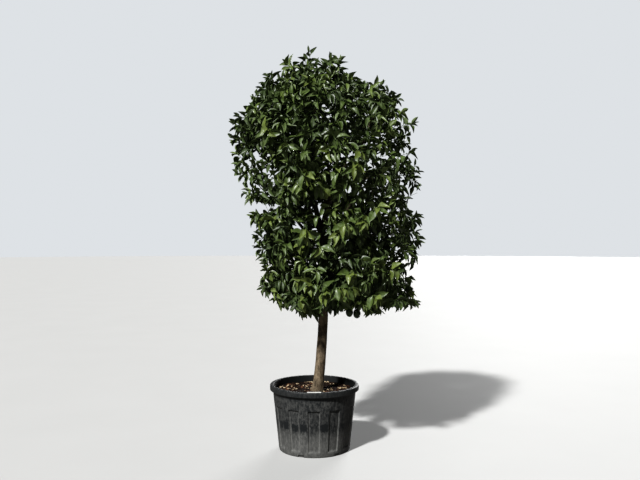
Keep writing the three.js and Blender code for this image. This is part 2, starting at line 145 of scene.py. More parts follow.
def shifted(faces, first):
    """Faces whose points follow on from the first that are there already."""
    return [tuple(first + corner for corner in face) for face in faces]


def keep_result(piece, modifier):
    """Keeps what a modifier makes of a piece as its plain mesh."""
    evaluated = piece.evaluated_get(bpy.context.evaluated_depsgraph_get())
    plain = bpy.data.meshes.new_from_object(evaluated)
    piece.modifiers.remove(modifier)
    piece.data = plain


class Wire:
    """What comes out of a node. Sums of wires and numbers add their own nodes to the wire's tree."""

    def __init__(self, socket):
        self.socket = socket
        self.tree = socket.id_data

    def math(self, operation, *others, clamp=False):
        inputs = dict(enumerate((self, *others)))
        return Node(self.tree, "ShaderNodeMath", inputs, operation=operation, use_clamp=clamp)[0]

    def __add__(self, other):
        return self.math("ADD", other)

    def __sub__(self, other):
        return self.math("SUBTRACT", other)

    def __mul__(self, other):
        return self.math("MULTIPLY", other)

    def __abs__(self):
        return self.math("ABSOLUTE")

    def scaled(self, by):
        """A vector or colour times a wire, or part by part times three numbers."""
        if isinstance(by, tuple):
            return Node(self.tree, "ShaderNodeVectorMath", {0: self, 1: by}, operation="MULTIPLY")[0]
        return Node(self.tree, "ShaderNodeVectorMath", {0: self, "Scale": by}, operation="SCALE")[0]


class Node:
    """A node with its settings and inputs. Its outputs are taken as wires, by name or number."""

    def __init__(self, tree, kind, inputs=None, **settings):
        self.made = tree.nodes.new(kind)
        for key, value in settings.items():
            setattr(self.made, key, value)
        fill(self.made, inputs or {})

    def __getitem__(self, key):
        return Wire(self.made.outputs[key])


def fill(node, inputs):
    """Gives a node its inputs. A wire is linked, and any other is a plain value."""
    for key, value in inputs.items():
        if isinstance(value, Wire):
            value.tree.links.new(value.socket, node.inputs[key])
        else:
            node.inputs[key].default_value = value


def new_group(name, kind, inputs, outputs):
    """A node group and its two end nodes. An input is told by its plain value, or else by its kind."""
    tree = bpy.data.node_groups.new(name, kind)
    for label, value in inputs.items():
        socket = {float: "Float", int: "Int", tuple: "Color"}.get(type(value), value)
        made = tree.interface.new_socket(label, in_out="INPUT", socket_type="NodeSocket" + socket)
        if value != socket:
            made.default_value = value
    for label, socket in outputs.items():
        tree.interface.new_socket(label, in_out="OUTPUT", socket_type="NodeSocket" + socket)
    return tree, Node(tree, "NodeGroupInput"), tree.nodes.new("NodeGroupOutput")


def new_material(name, **values):
    """A node material, its shader with plain values on its own sockets, and the Object coordinates."""
    material = bpy.data.materials.new(name)
    material.use_nodes = True
    shader = material.node_tree.nodes["Principled BSDF"]
    fill(shader, {label.replace("_", " "): value for label, value in values.items()})
    return material, shader, Node(material.node_tree, "ShaderNodeTexCoord")["Object"]


def blend_colors(share, a, b):
    return Node(share.tree, "ShaderNodeMix", {0: share, 6: a, 7: b}, data_type="RGBA")[2]


def spread(value, low, high, to_low=0.0, to_high=1.0):
    """The value's span from low to high, stretched to another span and kept inside it."""
    inputs = {0: value, 1: low, 2: high, 3: to_low, 4: to_high}
    return Node(value.tree, "ShaderNodeMapRange", inputs, interpolation_type="SMOOTHSTEP")[0]


def noise_at(where, scale, detail=3.0, roughness=0.55, distortion=0.0):
    inputs = {"Vector": where, "Scale": scale, "Detail": detail, "Roughness": roughness}
    inputs["Distortion"] = distortion
    return Node(where.tree, "ShaderNodeTexNoise", inputs)["Fac"]


def stretched(where, scale):
    return Node(where.tree, "ShaderNodeMapping", {"Vector": where, "Scale": scale})[0]


def split(vector):
    """A vector's three parts."""
    parts = Node(vector.tree, "ShaderNodeSeparateXYZ", {0: vector})
    return parts[0], parts[1], parts[2]


def settled_dust():
    """Dust that lies on plastic and runs down it in streaks, as a mask from 0 to 1, with its fine grain."""
    inputs = {"Vector": "Vector", "Amount": 0.5, "Streaks": 0.5}
    outputs = {"Mask": "Float", "Grain": "Float"}
    tree, given, result = new_group("settled_dust", "ShaderNodeTree", inputs, outputs)
    clouds = noise_at(stretched(given["Vector"], (1, 1, 0.6)), 64.0, 5.0, 0.78)
    runs = noise_at(stretched(given["Vector"], (1, 1, 0.07)), 88.0, 3.0, 0.6)
    grain = noise_at(given["Vector"], 420.0, 2.0)
    speckled = given["Amount"] + (clouds - 0.5) * 1.8 + (grain - 0.5) * 0.7
    mask = speckled.math("ADD", (runs - 0.5) * given["Streaks"], clamp=True)
    fill(result, {"Mask": mask, "Grain": grain})
    return tree


def use_group(group, inputs):
    return Node(inputs["Vector"].tree, "ShaderNodeGroup", inputs, node_tree=group)


def bump(shader, height, strength, distance):
    inputs = {"Height": height, "Strength": strength, "Distance": distance}
    fill(shader, {"Normal": Node(height.tree, "ShaderNodeBump", inputs)[0]})


def wall_radius(z):
    return mix(POT_FOOT_RADIUS, POT_NECK_RADIUS, z / RIM_LOW)


def inner_radius(z):
    low = POT_FOOT_RADIUS - FLUTE_DEPTH - POT_WALL
    return mix(low, POT_NECK_RADIUS - POT_WALL, (z - POT_FLOOR) / (INNER_TOP - POT_FLOOR))


def rounding(middle, size, start, end, steps=4):
    """Points of a quarter round in the pot's profile, from one angle to another."""
    angles = [math.radians(mix(start, end, i / steps)) for i in range(steps + 1)]
    return [(middle[0] + size * math.cos(a), middle[1] + size * math.sin(a)) for a in angles]


def pot_profile():
    """The pot's section from its foot up outside, over the rim and down inside to its floor."""
    foot = rounding((POT_FOOT_RADIUS - FOOT_ROUNDING, FOOT_ROUNDING), FOOT_ROUNDING, -90, 0)
    wall = [FLUTE_LOW - 0.012, FLUTE_LOW, FLUTE_LOW + 0.003, FLUTE_LOW + 0.005, FLUTE_LOW + FLUTE_DEPTH]
    wall += [mix(FLUTE_LOW + 0.02, FLUTE_HIGH - 0.012, i / 18) for i in range(19)]
    wall += [FLUTE_HIGH + step for step in (-0.004, -0.0025, -0.001, 0, 0.006)]
    wall += [mix(FLUTE_HIGH + 0.02, RIM_LOW, i / 5) for i in range(6)]
    under = rounding((RIM_RADIUS - RIM_CORNER, RIM_LOW + RIM_CORNER), RIM_CORNER, -90, 0)
    over = rounding((RIM_RADIUS - RIM_ROUNDING, POT_HEIGHT - RIM_ROUNDING), RIM_ROUNDING, 0, 90, 6)
    corner = (RIM_RADIUS - RIM_WIDTH + INNER_CORNER, POT_HEIGHT - INNER_CORNER)
    inside = [(inner_radius(z), z) for z in (POT_HEIGHT - 0.012, 0.425, 0.405, 0.38, POT_FLOOR)]
    outside = [(wall_radius(z), z) for z in wall]
    return foot + outside + under + over + rounding(corner, INNER_CORNER, 90, 180) + inside


def fluted_angles():
    """Angles round the pot in degrees, close together at the flutes' edges, and how far each is let in."""
    half_pitch = 180 / FLUTE_COUNT
    edge = FLUTE_HALF_ANGLE + FLUTE_SIDE_ANGLE
    side = [mix(FLUTE_HALF_ANGLE, edge, i / 4) for i in range(5)]
    right = [2.5, 5, FLUTE_HALF_ANGLE - 0.4, *side, edge + 0.4, 11, 13]
    offsets = [-half_pitch, *(-a for a in reversed(right)), 0, *right]
    middles = [2 * half_pitch * i for i in range(FLUTE_COUNT)]
    sunk = [1 - smooth_step(FLUTE_HALF_ANGLE, edge, abs(a)) for a in offsets]
    return [m + a for m in middles for a in offsets], sunk * FLUTE_COUNT


def fluted_share(z):
    low = smooth_step(FLUTE_LOW, FLUTE_LOW + FLUTE_DEPTH, z)
    return low * (1 - smooth_step(FLUTE_HIGH - 0.004, FLUTE_HIGH, z))


def build_pot():
    profile = pot_profile()
    angles, sunk = fluted_angles()
    points = []
    for radius, z in profile:
        depth = FLUTE_DEPTH * fluted_share(z)
        points += [polar(radius - depth * share, math.radians(a), z) for a, share in zip(angles, sunk)]
    piece = add_mesh("pot_shell", points, skin_faces(len(profile), len(angles)))
    wrap_uv(piece.data, len(angles), angles, [z for _, z in profile])
    cut_drains(piece)
    return piece


def wrap_uv(mesh, sides, angles, heights):
    """A map whose first number counts half flutes round the pot, and whose second is the height in metres."""
    layer = mesh.uv_layers.new(name="wrap")
    for face in mesh.polygons:
        columns = [mesh.loops[i].vertex_index % sides for i in face.loop_indices]
        around = len(columns) == 4 and max(columns) - min(columns) > 1
        for i, column in zip(face.loop_indices, columns):
            angle = angles[column] + (360 if around and column == 0 else 0)
            row = mesh.loops[i].vertex_index // sides
            layer.data[i].uv = (angle * FLUTE_COUNT * 2 / 360, heights[row])


def cut_drains(piece):
    """Cuts the drain slots through the foot of the wall."""
    points = []
    faces = []
    corners = [(x, y, z) for x in (-1, 1) for y in (-1, 1) for z in (-1, 1)]
    sides = [(0, 1, 3, 2), (4, 6, 7, 5), (0, 4, 5, 1), (2, 3, 7, 6), (0, 2, 6, 4), (1, 5, 7, 3)]
    for i in range(DRAIN_COUNT):
        turn = Matrix.Rotation(math.radians(DRAIN_ANGLE + 360 / DRAIN_COUNT * i), 3, "Z")
        faces += shifted(sides, len(points))
        for corner in corners:
            x, y, z = (side * size / 2 for side, size in zip(corner, DRAIN_SIZE))
            points.append(turn @ Vector((POT_FOOT_RADIUS + x, y, z)))
    cutter = add_mesh("drain_cutter", points, faces, smooth=False)
    modifier = piece.modifiers.new("drains", "BOOLEAN")
    modifier.operation = "DIFFERENCE"
    modifier.solver = "EXACT"
    modifier.object = cutter
    keep_result(piece, modifier)
    bpy.data.objects.remove(cutter)


def pot_material():
    material, shader, where = new_material("dusty_black_plastic", Specular_IOR_Level=0.3)
    settled = use_group(dust, {"Vector": where, "Amount": WALL_DUST, "Streaks": 0.7})
    turned, height, _ = split(Node(where.tree, "ShaderNodeUVMap", uv_map="wrap")[0])
    # Wiped patches lie side by side between the flutes' edges, a little below half the height of the wall
    wobble = noise_at(where, 85.0, 5.0, 0.75) - 0.5
    across = (turned + 0.5).math("PINGPONG", 0.5) + wobble * 0.34
    patch = {"W": turned.math("ROUND")}
    cell = Node(where.tree, "ShaderNodeTexWhiteNoise", patch, noise_dimensions="1D")["Value"]
    level = abs(height - (cell * WIPED_RISE + WIPED_HEIGHT)) + wobble * 0.06
    wiped = spread(across, 0.15, 0.19) * spread(level, 0.023, 0.029, 1.0, 0.0)
    wiped = wiped * spread(cell, 0.10, 0.80, 0.25, 1.0)
    # Dust holds along the edges of the flutes and on the foot. The inside of the wall is kept free of dust and
    # given a darker black than the plastic's own: painted shade.
    edge = abs(turned.math("PINGPONG", 1.0) - 0.5)
    edge_dust = spread(edge, 0.02, 0.07, EDGE_DUST, 0.0) * spread(height, 0.31, 0.30)
    edge_dust = edge_dust * spread(height, 0.03, 0.05)
    foot_dust = spread(height, 0.22, 0.08, 0.0, FOOT_DUST)
    # Less dust in a band just under the rim leaves the wall darker there: painted shade under the rim's
    # overhang.
    painted_rim_shade = spread(height, RIM_LOW - 0.036, RIM_LOW - 0.016, 1.0, 0.3)
    painted_rim_shade = painted_rim_shade.math("MAXIMUM", spread(height, RIM_LOW - 0.002, RIM_LOW))
    mask = settled["Mask"] * spread(height, RIM_LOW, RIM_LOW - 0.004, 0.4, 1.0) * painted_rim_shade
    mask = (mask + foot_dust + edge_dust).math("SUBTRACT", wiped * WIPED_SHARE, clamp=True)
    x, y, _ = split(where)
    wall = height * ((POT_NECK_RADIUS - POT_FOOT_RADIUS) / POT_HEIGHT) + POT_FOOT_RADIUS
    inside = spread((x * x + y * y).math("SQRT") - wall, -0.6 * POT_WALL, -0.2 * POT_WALL, 1.0, 0.0)
    inside = inside * spread(height, FLUTE_HIGH, FLUTE_HIGH + 0.02, 0.0, 0.9)
    mask = mask - mask * inside
    plastic = blend_colors(inside, POT_BLACK, POT_INSIDE_SHADE)
    dull = inside * 0.2 + spread(mask, 0.0, 0.8, 0.5, 0.85)
    fill(shader, {"Base Color": blend_colors(mask, plastic, POT_DUST), "Roughness": dull})
    bump(shader, settled["Grain"], 0.3, 0.0006)
    return material


dust = settled_dust()
pot = build_pot()
pot.data.materials.clear()
pot.data.materials.append(pot_material())
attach(pot, "root")
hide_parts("pot")


# The potting mix is damp peat and composted bark, filled to a few fingers below the rim and nearly level.
# Chips of bark and wood lie on it as mulch, dark, reddish and pale ones mixed.
SOIL_LEVEL = 0.408
SOIL_RINGS = 46
SOIL_SIDES = 128
SOIL_RELIEF = 0.006
SOIL_CLEARANCE = 0.0003
PEAT = (0.007, 0.004, 0.003, 1)
PEAT_CRUMB = (0.030, 0.016, 0.009, 1)
CHIP_SHAPES = 5
# Each kind of chip: its share of the ground as chips per square metre, its least and greatest length,
# its seed, and its darker and lighter colour
CHIP_KINDS = {
    "mulch_dark": (3400, 0.008, 0.030, 3, (0.006, 0.0035, 0.003, 1), (0.034, 0.017, 0.010, 1)),
    "mulch_red": (1100, 0.009, 0.034, 8, (0.040, 0.018, 0.010, 1), (0.15, 0.072, 0.038, 1)),
    "mulch_pale": (560, 0.008, 0.034, 23, (0.24, 0.17, 0.10, 1), (0.68, 0.55, 0.36, 1)),
}


def soil_height(x, y):
    """The surface with its clods, which are lower by the pot's wall."""
    clods = noise.fractal(Vector((x * 22, y * 22, 4.2)), 1.0, 2.1, 4) * SOIL_RELIEF
    edge = 1 - smooth_step(0.2, inner_radius(SOIL_LEVEL), math.hypot(x, y))
    return SOIL_LEVEL + clods * mix(0.3, 1.0, edge)


def build_soil():
    wall = inner_radius(SOIL_LEVEL) - SOIL_CLEARANCE
    floor = inner_radius(POT_FLOOR) - SOIL_CLEARANCE
    rings = [(floor, POT_FLOOR + 0.0004), (mix(floor, wall, 0.5), mix(POT_FLOOR, SOIL_LEVEL, 0.5))]
    points = [polar(r, a, z) for r, z in rings for a in ring_angles(SOIL_SIDES)]
    for ring in range(SOIL_RINGS):
        radius = mix(wall, 0.005, ring / (SOIL_RINGS - 1))
        for angle in ring_angles(SOIL_SIDES):
            x, y, _ = polar(radius, angle)
            points.append((x, y, soil_height(x, y)))
    return add_mesh("soil_bed", points, skin_faces(SOIL_RINGS + 2, SOIL_SIDES))


def ring_angles(sides):
    return [2 * math.pi * k / sides for k in range(sides)]


def chip_shape(index):
    """A split chip: a flat four to six sided slab about as long as one metre, rough at its edges."""
    rough = np.random.default_rng(40 + index)
    sides = 5 + index % 3
    width = rough.uniform(0.3, 0.62)
    outline = []
    for angle in ring_angles(sides):
        reach = rough.uniform(0.78, 1.08)
        outline.append((0.5 * reach * math.cos(angle), 0.5 * width * reach * math.sin(angle)))
    lower = [(x, y, -0.09 + rough.uniform(-0.03, 0.03)) for x, y in outline]
    upper = [(x * 0.86, y * 0.82, 0.09 + rough.uniform(-0.04, 0.04)) for x, y in outline]
    return add_mesh(f"chip_{index}", lower + upper, skin_faces(2, sides), smooth=False)


def mulch_tree():
    """Scatters chips over a surface in drifts, lying nearly flat, and makes them real."""
    inputs = {
        "Geometry": "Geometry",
        "Chips": "Collection",
        "Chips per Square Metre": 1000.0,
        "Reach": 0.25,
        "Smallest": 0.01,
        "Largest": 0.03,
        "Seed": 0,
        "Material": "Material",
    }
    tree, given, result = new_group("mulch", "GeometryNodeTree", inputs, {"Geometry": "Geometry"})
    level_place = Node(tree, "GeometryNodeInputPosition")[0].scaled((1, 1, 0))
    out = Node(tree, "ShaderNodeVectorMath", {0: level_place}, operation="LENGTH")["Value"]
    inside = Node(tree, "FunctionNodeCompare", {0: out, 1: given["Reach"]}, operation="LESS_THAN")[0]
    up = split(Node(tree, "GeometryNodeInputNormal")[0])[2]
    facing_up = Node(tree, "FunctionNodeCompare", {0: up, 1: 0.5}, operation="GREATER_THAN")[0]
    drifts = Node(tree, "ShaderNodeTexNoise", {"W": given["Seed"], "Scale": 14.0}, noise_dimensions="4D")[0]
    piled = Node(tree, "ShaderNodeMapRange", {0: drifts, 1: 0.46, 2: 0.62, 3: 0.03, 4: 2.4})[0]
    spots = Node(tree, "GeometryNodeDistributePointsOnFaces", {
        "Mesh": given["Geometry"],
        "Selection": Node(tree, "FunctionNodeBooleanMath", {0: inside, 1: facing_up})[0],
        "Density": piled * given["Chips per Square Metre"],
        "Seed": given["Seed"],
    })["Points"]
    tilt = Node(tree, "FunctionNodeRandomValue", {
        "Min": (-0.5, -0.5, 0.0),
        "Max": (0.5, 0.5, 2 * math.pi),
        "Seed": given["Seed"],
    }, data_type="FLOAT_VECTOR")[0]
    size = Node(tree, "FunctionNodeRandomValue", {
        2: given["Smallest"],
        3: given["Largest"],
        "Seed": given["Seed"],
    }, data_type="FLOAT")[1]
    chips = set_on_points(spots, given["Chips"], tilt, size)
    fill(result, {0: make_real(chips, given["Material"])})
    return tree


def set_on_points(points, shapes, turn, size, pick=None):
    """A shape from a collection on each point, turned and sized. Without a pick they are dealt in turn."""
    inputs = {"Points": points, "Pick Instance": True, "Scale": size}
    kinds = Node(points.tree, "GeometryNodeCollectionInfo", {"Collection": shapes, "Separate Children": True})
    inputs["Instance"] = kinds[0]
    inputs["Rotation"] = Node(points.tree, "FunctionNodeEulerToRotation", {0: turn})[0]
    if pick:
        inputs["Instance Index"] = pick
    return Node(points.tree, "GeometryNodeInstanceOnPoints", inputs)[0]


def make_real(shapes, material):
    """Instances or a skin as plain geometry of one material."""
    real = Node(shapes.tree, "GeometryNodeRealizeInstances", {0: shapes})[0]
    return Node(shapes.tree, "GeometryNodeSetMaterial", {0: real, "Material": material})[0]


def run_tree(name, mesh, tree, settings):
    """Runs a tree of Geometry Nodes over a mesh, and keeps what it makes as one plain piece."""
    piece = add_object(name, mesh)
    modifier = piece.modifiers.new(tree.name, "NODES")
    modifier.node_group = tree
    sockets = {s.name: s.identifier for s in tree.interface.items_tree if s.in_out == "INPUT"}
    for label, value in settings.items():
        modifier[sockets[label]] = value
    keep_result(piece, modifier)
    piece.data.name = name
    for index in reversed(range(len(piece.data.materials))):
        if piece.data.materials[index] is None:
            piece.data.materials.pop(index=index)
    return piece


def gather(name, objects):
    """A collection of shapes for a tree to pick from, kept out of the scene."""
    collection = bpy.data.collections.new(name)
    for shape in objects:
        for holder in list(shape.users_collection):
            holder.objects.unlink(shape)
        collection.objects.link(shape)
    return collection


def clear_away(collection):
    for shape in list(collection.objects):
        bpy.data.objects.remove(shape)
    bpy.data.collections.remove(collection)


def soil_material():
    material, shader, where = new_material("damp_potting_mix", Roughness=0.95, Specular_IOR_Level=0.12)
    crumbs = noise_at(where, 160.0, 4.0, 0.7)
    clods = noise_at(where, 38.0)
    fill(shader, {"Base Color": blend_colors(spread(crumbs * clods, 0.2, 0.42), PEAT, PEAT_CRUMB)})
    bump(shader, crumbs + clods, 0.8, 0.004)
    return material


def chip_material(name, darker, lighter):
    material, shader, where = new_material(name, Roughness=0.85, Specular_IOR_Level=0.15)
    fibres = noise_at(stretched(where, (1, 0.25, 1)), 380.0, 3.0, 0.6)
    share = spread(fibres * 0.35 + noise_at(where, 45.0, 2.0, 0.6), 0.45, 0.95)
    fill(shader, {"Base Color": blend_colors(share, darker, lighter)})
    bump(shader, fibres, 0.5, 0.001)
    return material


soil = build_soil()
soil.data.materials.append(soil_material())
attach(soil, "root")
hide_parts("soil")

chips = gather("chips", [chip_shape(i) for i in range(CHIP_SHAPES)])
mulch = mulch_tree()
for name, (number, smallest, largest, seed, darker, lighter) in CHIP_KINDS.items():
    ground = soil.data.copy()
    ground.materials.clear()
    piece = run_tree(name, ground, mulch, {
        "Chips": chips,
        "Chips per Square Metre": float(number),
        "Reach": inner_radius(SOIL_LEVEL) - largest / 2,
        "Smallest": smallest,
        "Largest": largest,
        "Seed": seed,
        "Material": chip_material(name + "_chips", darker, lighter),
    })
    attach(piece, "root")
clear_away(chips)


# The rim label is a blank strip of white plastic, stuck on top of the rim at the front. Its face is satin
# and a little soiled by water and dust.
LABEL_WHITE = (0.84, 0.84, 0.81, 1)
LABEL_SOIL = (0.36, 0.33, 0.27, 1)


def label_material():
    material, shader, where = new_material("blank_white_label", Roughness=0.42)
    settled = use_group(dust, {"Vector": where, "Amount": -0.05, "Streaks": 0.2})
    fill(shader, {"Base Color": blend_colors(settled["Mask"], LABEL_WHITE, LABEL_SOIL)})
    bump(shader, settled["Grain"], 0.1, 0.0002)
    return material


rim_label = frame["nodes"]["rim_label"]
rim_label.data.materials.clear()
rim_label.data.materials.append(label_material())


# The trunk is one upright stem that leans a little to the right and back again. It flares where it enters the
# mix. Its bark is smooth and grey-brown, with fine upright cracks, slight lumps and rows of pale pores.
TRUNK_FOOT = Vector((0.020, -0.054, 0.40835))
TRUNK_BOW = Vector((0.092, -0.014, 0.960))
TRUNK_FORK = Vector((0.048, 0.004, 1.540))
TRUNK_CURVE = (TRUNK_FOOT, TRUNK_BOW, TRUNK_FORK)
TRUNK_RADIUS = 0.036
FORK_RADIUS = 0.029
ROOT_FLARE = 0.008
FLARE_SHARE = 0.036
ROOT_RIBS = 4
ROOT_RIB_DEPTH = 0.0025
TRUNK_SIDES = 96
TRUNK_RINGS = 340
BURIED_SHARE = -0.012
CRACK_DEPTH = 0.0013
BARK_LUMPS = 0.045
TRUNK_BARK = ((0.068, 0.050, 0.031, 1), (0.290, 0.226, 0.148, 1))


def curve_point(curve, share):
    """The point at a share of a curve that bows from its start towards a third point."""
    start, bow, end = curve
    return start * (1 - share) ** 2 + bow * (2 * share * (1 - share)) + end * share**2


def curve_line(curve, steps):
    return [curve_point(curve, i / steps) for i in range(steps + 1)]


def bark_height(angle, radius, along, lumps, cracks):
    """How far the bark stands out: lumps as a share of the radius, and cracks that run along the limb."""
    near = Vector((math.cos(angle) * radius, math.sin(angle) * radius, 0))
    broad = noise.noise(near.normalized() * 1.1 + Vector((0, 0, along * 8)))
    crack_spot = near * 95 + Vector((0, 0, along * 13))
    crack = 1 - min(abs(noise.noise(crack_spot)) / 0.13, 1)
    fine = noise.fractal(near * 230 + Vector((3, 7, along * 60)), 1.0, 2.0, 3)
    return broad * radius * lumps + cracks * (0.45 * fine - crack * crack)


def limb_rings(line, radii, sides, start_along=0.0, lumps=BARK_LUMPS, cracks=CRACK_DEPTH, flare=None):
    """Rings of bark round a line of points, each turned as little as can be from the one before."""
    points = []
    across = Vector((1, 0, 0))
    along = start_along
    for i, centre in enumerate(line):
        way = (line[min(i + 1, len(line) - 1)] - line[max(i - 1, 0)]).normalized()
        if abs(across.dot(way)) > 0.95:
            across = Vector((0, 1, 0))
        across = (across - way * across.dot(way)).normalized()
        other = way.cross(across)
        if i:
            along += (centre - line[i - 1]).length
        for angle in ring_angles(sides):
            reach = radii[i] + bark_height(angle, radii[i], along, lumps, cracks)
            if flare:
                reach += flare(i, angle)
            points.append(centre + across * (reach * math.cos(angle)) + other * (reach * math.sin(angle)))
    return points


def bark_weathering():
    """Tone and cracks of citrus bark, drawn out along the limb, with a height for its relief."""
    inputs = {"Vector": "Vector", "Fineness": 1.0}
    outputs = {"Tone": "Float", "Cracks": "Float", "Height": "Float"}
    tree, given, result = new_group("bark_weathering", "ShaderNodeTree", inputs, outputs)
    sized = given["Vector"].scaled(given["Fineness"])
    cracks = noise_at(stretched(sized, (1, 1, 0.16)), 110.0, 4.0, 0.6, 0.4)
    cracks = spread(abs(cracks - 0.5), 0.0, 0.045, 1.0, 0.0)
    pores = spread(noise_at(stretched(sized, (0.35, 0.35, 1)), 330.0, 2.0, 0.5), 0.58, 0.70)
    tone = pores * 0.28 + noise_at(stretched(sized, (1, 1, 0.5)), 26.0, 5.0, 0.62)
    fill(result, {"Tone": tone, "Cracks": cracks, "Height": tone - cracks * 0.8})
    return tree


def bark_material(name, darker, lighter, fineness, strength):
    material, shader, where = new_material(name, Roughness=0.82, Specular_IOR_Level=0.3)
    bark = use_group(weathering, {"Vector": where, "Fineness": fineness})
    color = blend_colors(spread(bark["Tone"], 0.34, 0.78), darker, lighter)
    in_cracks = (*(0.35 * part for part in darker[:3]), 1)
    fill(shader, {"Base Color": blend_colors(bark["Cracks"] * 0.6, color, in_cracks)})
    bump(shader, bark["Height"], strength, 0.002)
    return material


def build_trunk():
    shares = [mix(BURIED_SHARE, 1, i / (TRUNK_RINGS - 1)) for i in range(TRUNK_RINGS)]
    line = [curve_point(TRUNK_CURVE, t) for t in shares]
    radii = [trunk_radius(max(t, 0)) for t in shares]

    def root_ribs(i, angle):
        fading = math.exp(-max(shares[i], 0) / (1.6 * FLARE_SHARE))
        return ROOT_RIB_DEPTH * math.cos(ROOT_RIBS * angle + 0.7) * fading

    points = limb_rings(line, radii, TRUNK_SIDES, flare=root_ribs)
    return add_mesh("trunk_bark", points, skin_faces(len(line), TRUNK_SIDES))


def trunk_radius(share):
    return mix(TRUNK_RADIUS, FORK_RADIUS, share) + ROOT_FLARE * math.exp(-share / FLARE_SHARE)


weathering = bark_weathering()
trunk = build_trunk()
trunk.data.materials.append(bark_material("trunk_bark", *TRUNK_BARK, 1.0, 0.5))
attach(trunk, "root")
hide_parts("trunk")


# The boughs carry the crown in five tiers: two leaders carry on the trunk, the shoulder boughs leave the
# leaders, and the others leave the trunk below. Each ends where its mass of foliage begins, and each mass
# keeps to the space that is nearer to its own middle than to any other's.
LEADER_COUNT = 2
BOUGH_TAPER = 0.5
BOUGH_COLLAR = 0.25
# A bough ends this far short of its mass's middle, or this share of its way if that is less. It goes on by
# steps where that wouldn't be in the mass's space by the margin
BOUGH_GAP = 0.150
BOUGH_GAP_SHARE = 0.3
BOUGH_STEP = 0.010
BOUGH_MARGIN = 0.030
# Where a bough bows, as a share of its way and of its rise, and how much above that
BOW_SHARE = 0.62
BOW_RISE = 0.34
BOW_LIFT = 0.020
BOUGH_SIDES = {"top": 28}
OTHER_BOUGH_SIDES = 20
BOUGH_RING_GAP = 0.006
BOUGH_BARK = ((0.060, 0.050, 0.028, 1), (0.190, 0.165, 0.100, 1))
# The crown's reach to the left and right of the pot's middle, by height
CROWN_PROFILE = [
    (2.840, -0.060, -0.010),
    (2.765, -0.235, 0.200),
    (2.690, -0.300, 0.290),
    (2.600, -0.390, 0.500),
    (2.460, -0.520, 0.665),
    (2.300, -0.600, 0.740),
    (2.090, -0.615, 0.765),
    (1.880, -0.560, 0.780),
    (1.640, -0.480, 0.770),
    (1.440, -0.445, 0.765),
    (1.240, -0.400, 0.700),
    (1.090, -0.415, 0.740),
    (0.985, -0.260, 0.740),
    (0.925, -0.150, 0.420),
    (0.880, -0.060, 0.110),
]
CROWN_TOP = CROWN_PROFILE[0][0]
CROWN_LOW = CROWN_PROFILE[-1][0]
# Each tier's height, number of boughs, first angle and spread, the share of its parent where its highest
# bough leaves, how far the others are staggered below that, its boughs' radius, and how far its masses
# rise and sink
TIERS = {
    "top": (2.590, 2, 345, 0.4, 0.985, 0.0, 0.020, 0.075),
    "shoulder": (2.290, 5, 270, 0.58, 0.36, 0.18, 0.013, 0.075),
    "upper": (1.890, 5, 236, 0.62, 0.97, 0.13, 0.015, 0.075),
    "lower": (1.480, 5, 270, 0.6, 0.8, 0.11, 0.013, 0.075),
    "skirt": (1.125, 5, 250, 0.6, 0.62, 0.1, 0.012, 0.030),
}


def crown_at(z):
    """The crown's middle and radius at a height."""
    for (top, left_top, right_top), (low, left_low, right_low) in zip(CROWN_PROFILE, CROWN_PROFILE[1:]):
        if low <= z <= top:
            share = (z - low) / (top - low)
            left, right = mix(left_low, left_top, share), mix(right_low, right_top, share)
            return (left + right) / 2, (right - left) / 2
    return None


def shell_at(spot):
    """0 in the crown's heart and 1 on its surface."""
    crown = crown_at(spot[2])
    if crown is None:
        return math.inf
    from_middle = abs(spot[2] - (CROWN_TOP + CROWN_LOW) / 2) / ((CROWN_TOP - CROWN_LOW) / 2)
    return max(math.hypot(spot[0] - crown[0], spot[1]) / crown[1], from_middle)


def mass_middles():
    """The middle of each mass of foliage, by its tier and its place in the tier."""
    middles = {}
    for tier, (z, count, first_angle, share, _, _, _, sway) in TIERS.items():
        centre, radius = crown_at(z)
        for index in range(count):
            angle = math.radians(first_angle + 360 * index / count)
            x = centre + math.cos(angle) * radius * share
            y = math.sin(angle) * radius * share
            middles[tier, index] = Vector((x, y, z + sway * math.cos(2.6 * index + 1000 * z)))
    return middles


def in_own_space(mass, spot, margin):
    """True if a point is in a mass's own space and at least the margin inside it."""
    own = MIDDLES[mass]
    for other, middle in MIDDLES.items():
        if other != mass:
            nearer = (spot - middle).length_squared - (spot - own).length_squared
            if nearer <= 2 * margin * (middle - own).length:
                return False
    return True


def bough_curve(mass):
    """A bough rises from its parent and levels out towards its mass, and ends where it enters it."""
    tier, index = mass
    _, count, _, _, highest, stagger, _, _ = TIERS[tier]
    middle = MIDDLES[mass]
    parent = TRUNK_CURVE
    if tier == "shoulder":
        leaders = [boughs["top", i] for i in range(LEADER_COUNT)]
        parent = min(leaders, key=lambda curve: (curve[2] - middle).length)
    start = curve_point(parent, highest - stagger * (index * 2 % count) / count)
    inward = start - middle
    gap = min(BOUGH_GAP_SHARE * inward.length, BOUGH_GAP)
    inward.normalize()
    while not in_own_space(mass, middle + inward * gap, BOUGH_MARGIN):
        gap -= BOUGH_STEP
    end = middle + inward * gap
    bow = start.lerp(end, BOW_SHARE)
    bow.z = mix(start.z, end.z, BOW_RISE) + BOW_LIFT
    return start, bow, end


def bough_radius(tier, share):
    return TIERS[tier][6] * (mix(1, BOUGH_TAPER, share) + BOUGH_COLLAR * math.exp(-9 * share))


def build_boughs():
    points = []
    faces = []
    for number, ((tier, _), curve) in enumerate(boughs.items()):
        coarse = curve_line(curve, 8)
        rings = int(sum((after - spot).length for spot, after in zip(coarse, coarse[1:])) / BOUGH_RING_GAP)
        radii = [bough_radius(tier, i / rings) for i in range(rings + 1)]
        sides = BOUGH_SIDES.get(tier, OTHER_BOUGH_SIDES)
        faces += skin_faces(rings + 1, sides, len(points))
        points += limb_rings(curve_line(curve, rings), radii, sides, 3.7 * number, lumps=0.07, cracks=0.0007)
    return add_mesh("bough_bark", points, faces)


